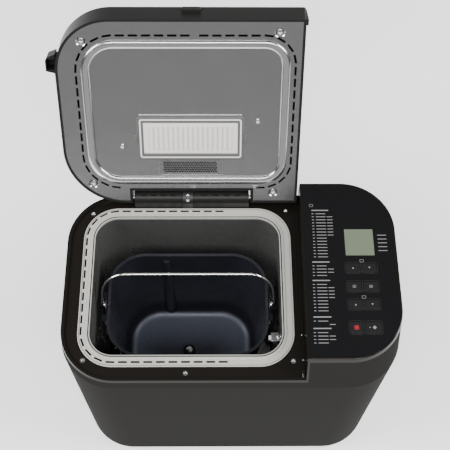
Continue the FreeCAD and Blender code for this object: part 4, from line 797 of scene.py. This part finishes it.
@dataclass
class PanDetails:
    """The bright turned edge of the pan's rim and the washers on its handle."""

    bench: Bench
    centre: tuple[float, float] = (-53.4, -1.5)
    half: tuple[float, float] = (101.0, 69.1)
    rim_reach: float = 2.2
    hub: tuple[float, float, float] = (-55.4, -14.5, 123.6)
    pivot_height: float = 264.5
    washer_inner: float = 106.0
    washer_outer: float = 107.6

    def build(self) -> None:
        """Turn the rim's edge and seat the handle's washers."""
        bench = self.bench
        x, y = self.centre
        half_x, half_y = self.half
        reach_x, reach_y = half_x + self.rim_reach, half_y + self.rim_reach
        rim = bench.hoop(x - reach_x, x + reach_x, y - reach_y, y + reach_y, 264.9, 0.7, 46.8, 1.5, ease=0.3)
        bench.finish(rim, "pan_rim_edge", "pan", "pan_coating")
        cap = bench.prism(*self.hub, 4.6, 1.2, 24, step=0.9, ease=0.4)
        bench.finish(cap, "blade_hub_cap", "blade", "bright_steel")
        for name, side in (("left", -1), ("right", 1)):
            start = (x + side * self.washer_inner, y, self.pivot_height)
            end = (x + side * self.washer_outer, y, self.pivot_height)
            washer = bench.tube(start, end, 4.2, 3.0)
            bench.finish(washer, f"handle_washer_{name}", "pan", "bright_steel")


@dataclass
class ChamberDetails:
    """The temperature sensor's light sleeve and its clip inside the chamber."""

    bench: Bench

    def build(self) -> None:
        """Sleeve the sensor and clip it to the wall."""
        bench = self.bench
        sleeve = bench.tube((61.5, -54.7, 285.0), (48.0, -54.7, 285.0), 3.1, 2.1)
        bench.finish(sleeve, "sensor_sleeve", "housing", "ivory_plastic")
        clip = bench.tile(50.5, 60.5, -60.2, -49.2, 288.4, 0.9, 1.2, ease=0.25)
        bench.finish(clip, "sensor_clip", "housing", "bright_steel")


@dataclass
class CasingDetails:
    """The blank rating plate under the base."""

    bench: Bench

    def build(self) -> None:
        """Fit the plate and the line round it."""
        bench = self.bench
        plate = bench.tile(-40.0, 30.0, -24.0, 24.0, 5.0, 0.5, 2.0, Side.DOWN, 0.15)
        bench.finish(plate, "rating_plate_blank", "housing", "bright_steel")
        line = bench.hoop(-38.0, 28.0, -22.0, 22.0, 4.5, 0.12, 1.5, 0.5, Side.DOWN)
        bench.finish(line, "rating_plate_line", "housing", "black_plastic")


# ---- studio -----------------------------------------------------------------------------------
@dataclass
class Studio:
    """The floor, the lamps and the camera."""

    eye: tuple[float, float, float] = (-0.01712, -0.42556, 1.32503)
    yaw: float = math.radians(1.263)
    pitch: float = math.radians(63.092)
    roll: float = math.radians(1.08)
    lens: float = 70.76
    sensor: float = 36.0
    floor_size: float = 12.0

    def camera(self) -> None:
        """Stand the camera above the front, looking down on the machine."""
        ahead = Vector((math.sin(self.yaw) * math.cos(self.pitch), math.cos(self.yaw) * math.cos(self.pitch),
                        -math.sin(self.pitch)))
        right = Vector((math.cos(self.yaw), -math.sin(self.yaw), 0.0))
        up = right.cross(ahead)
        turned_right = math.cos(self.roll) * right + math.sin(self.roll) * up
        turned_up = math.cos(self.roll) * up - math.sin(self.roll) * right
        data = bpy.data.cameras.new("camera")
        data.lens = self.lens
        data.sensor_width = self.sensor
        data.clip_end = 50.0
        camera = bpy.data.objects.new("camera", data)
        bpy.context.collection.objects.link(camera)
        turn = Matrix((turned_right, turned_up, -ahead)).transposed().to_4x4()
        camera.matrix_world = Matrix.Translation(Vector(self.eye) + CENTRE) @ turn
        bpy.context.scene.camera = camera

    def floor(self) -> None:
        """Lay a plain pale floor."""
        bpy.ops.object.select_all(action="DESELECT")
        bpy.ops.mesh.primitive_plane_add(size=self.floor_size, location=(0, 0, 0))
        floor = bpy.context.object
        floor.name = "floor"
        nodes = Nodes("floor_paper")
        nodes.set("Base Color", (0.92, 0.92, 0.92, 1.0))
        nodes.set("Roughness", 0.9)
        nodes.set("Emission Color", (1.0, 1.0, 1.0, 1.0))
        nodes.set("Emission Strength", 0.35)
        floor.data.materials.append(nodes.material)

    def lamp(self, name: str, place: tuple, aim: tuple, size: tuple, power: float) -> None:
        """Hang one rectangular lamp.

        Args:
            name: the lamp's name.
            place: where it hangs, from the machine's centre.
            aim: the point it shines at, from the machine's centre.
            size: its width and height.
            power: its power in watts.
        """
        data = bpy.data.lights.new(name, "AREA")
        data.shape = "RECTANGLE"
        data.size, data.size_y = size
        data.energy = power
        lamp = bpy.data.objects.new(name, data)
        bpy.context.collection.objects.link(lamp)
        lamp.location = Vector(place) + CENTRE
        direction = Vector(aim) - Vector(place)
        lamp.rotation_euler = direction.to_track_quat("-Z", "Y").to_euler()

    def light(self) -> None:
        """Light the machine softly from above, both sides and the front."""
        world = bpy.data.worlds.new("studio")
        world.use_nodes = True
        world.node_tree.nodes["Background"].inputs["Color"].default_value = (1, 1, 1, 1)
        world.node_tree.nodes["Background"].inputs["Strength"].default_value = 0.16
        bpy.context.scene.world = world
        self.lamp("front_top", (0.0, -1.6, 2.7), (0, 0, 0.2), (2.2, 1.2), 100)
        self.lamp("left_box", (-2.2, -0.2, 2.1), (0, 0, 0.2), (1.5, 1.5), 105)
        self.lamp("right_box", (2.2, -0.2, 2.1), (0, 0, 0.2), (1.5, 1.5), 105)
        self.lamp("front_card", (0.0, -3.0, 0.9), (0, 0, 0.4), (3.4, 1.8), 4)


def main() -> None:
    """Build the machine's pieces and the studio in order."""
    logging.basicConfig(level=logging.INFO, format="%(message)s")
    finisher = Finisher()
    finisher.dress_nodes()
    bench = Bench(finisher)
    for details in (PanelPrint, DeckDetails, LidDetails, PanDetails, ChamberDetails, CasingDetails):
        LOG.info("building %s", details.__name__)
        details(bench).build()
    LOG.info("%d pieces made", len(bench.made))
    studio = Studio()
    studio.floor()
    studio.light()
    studio.camera()


if __name__ == "__main__":
    main()
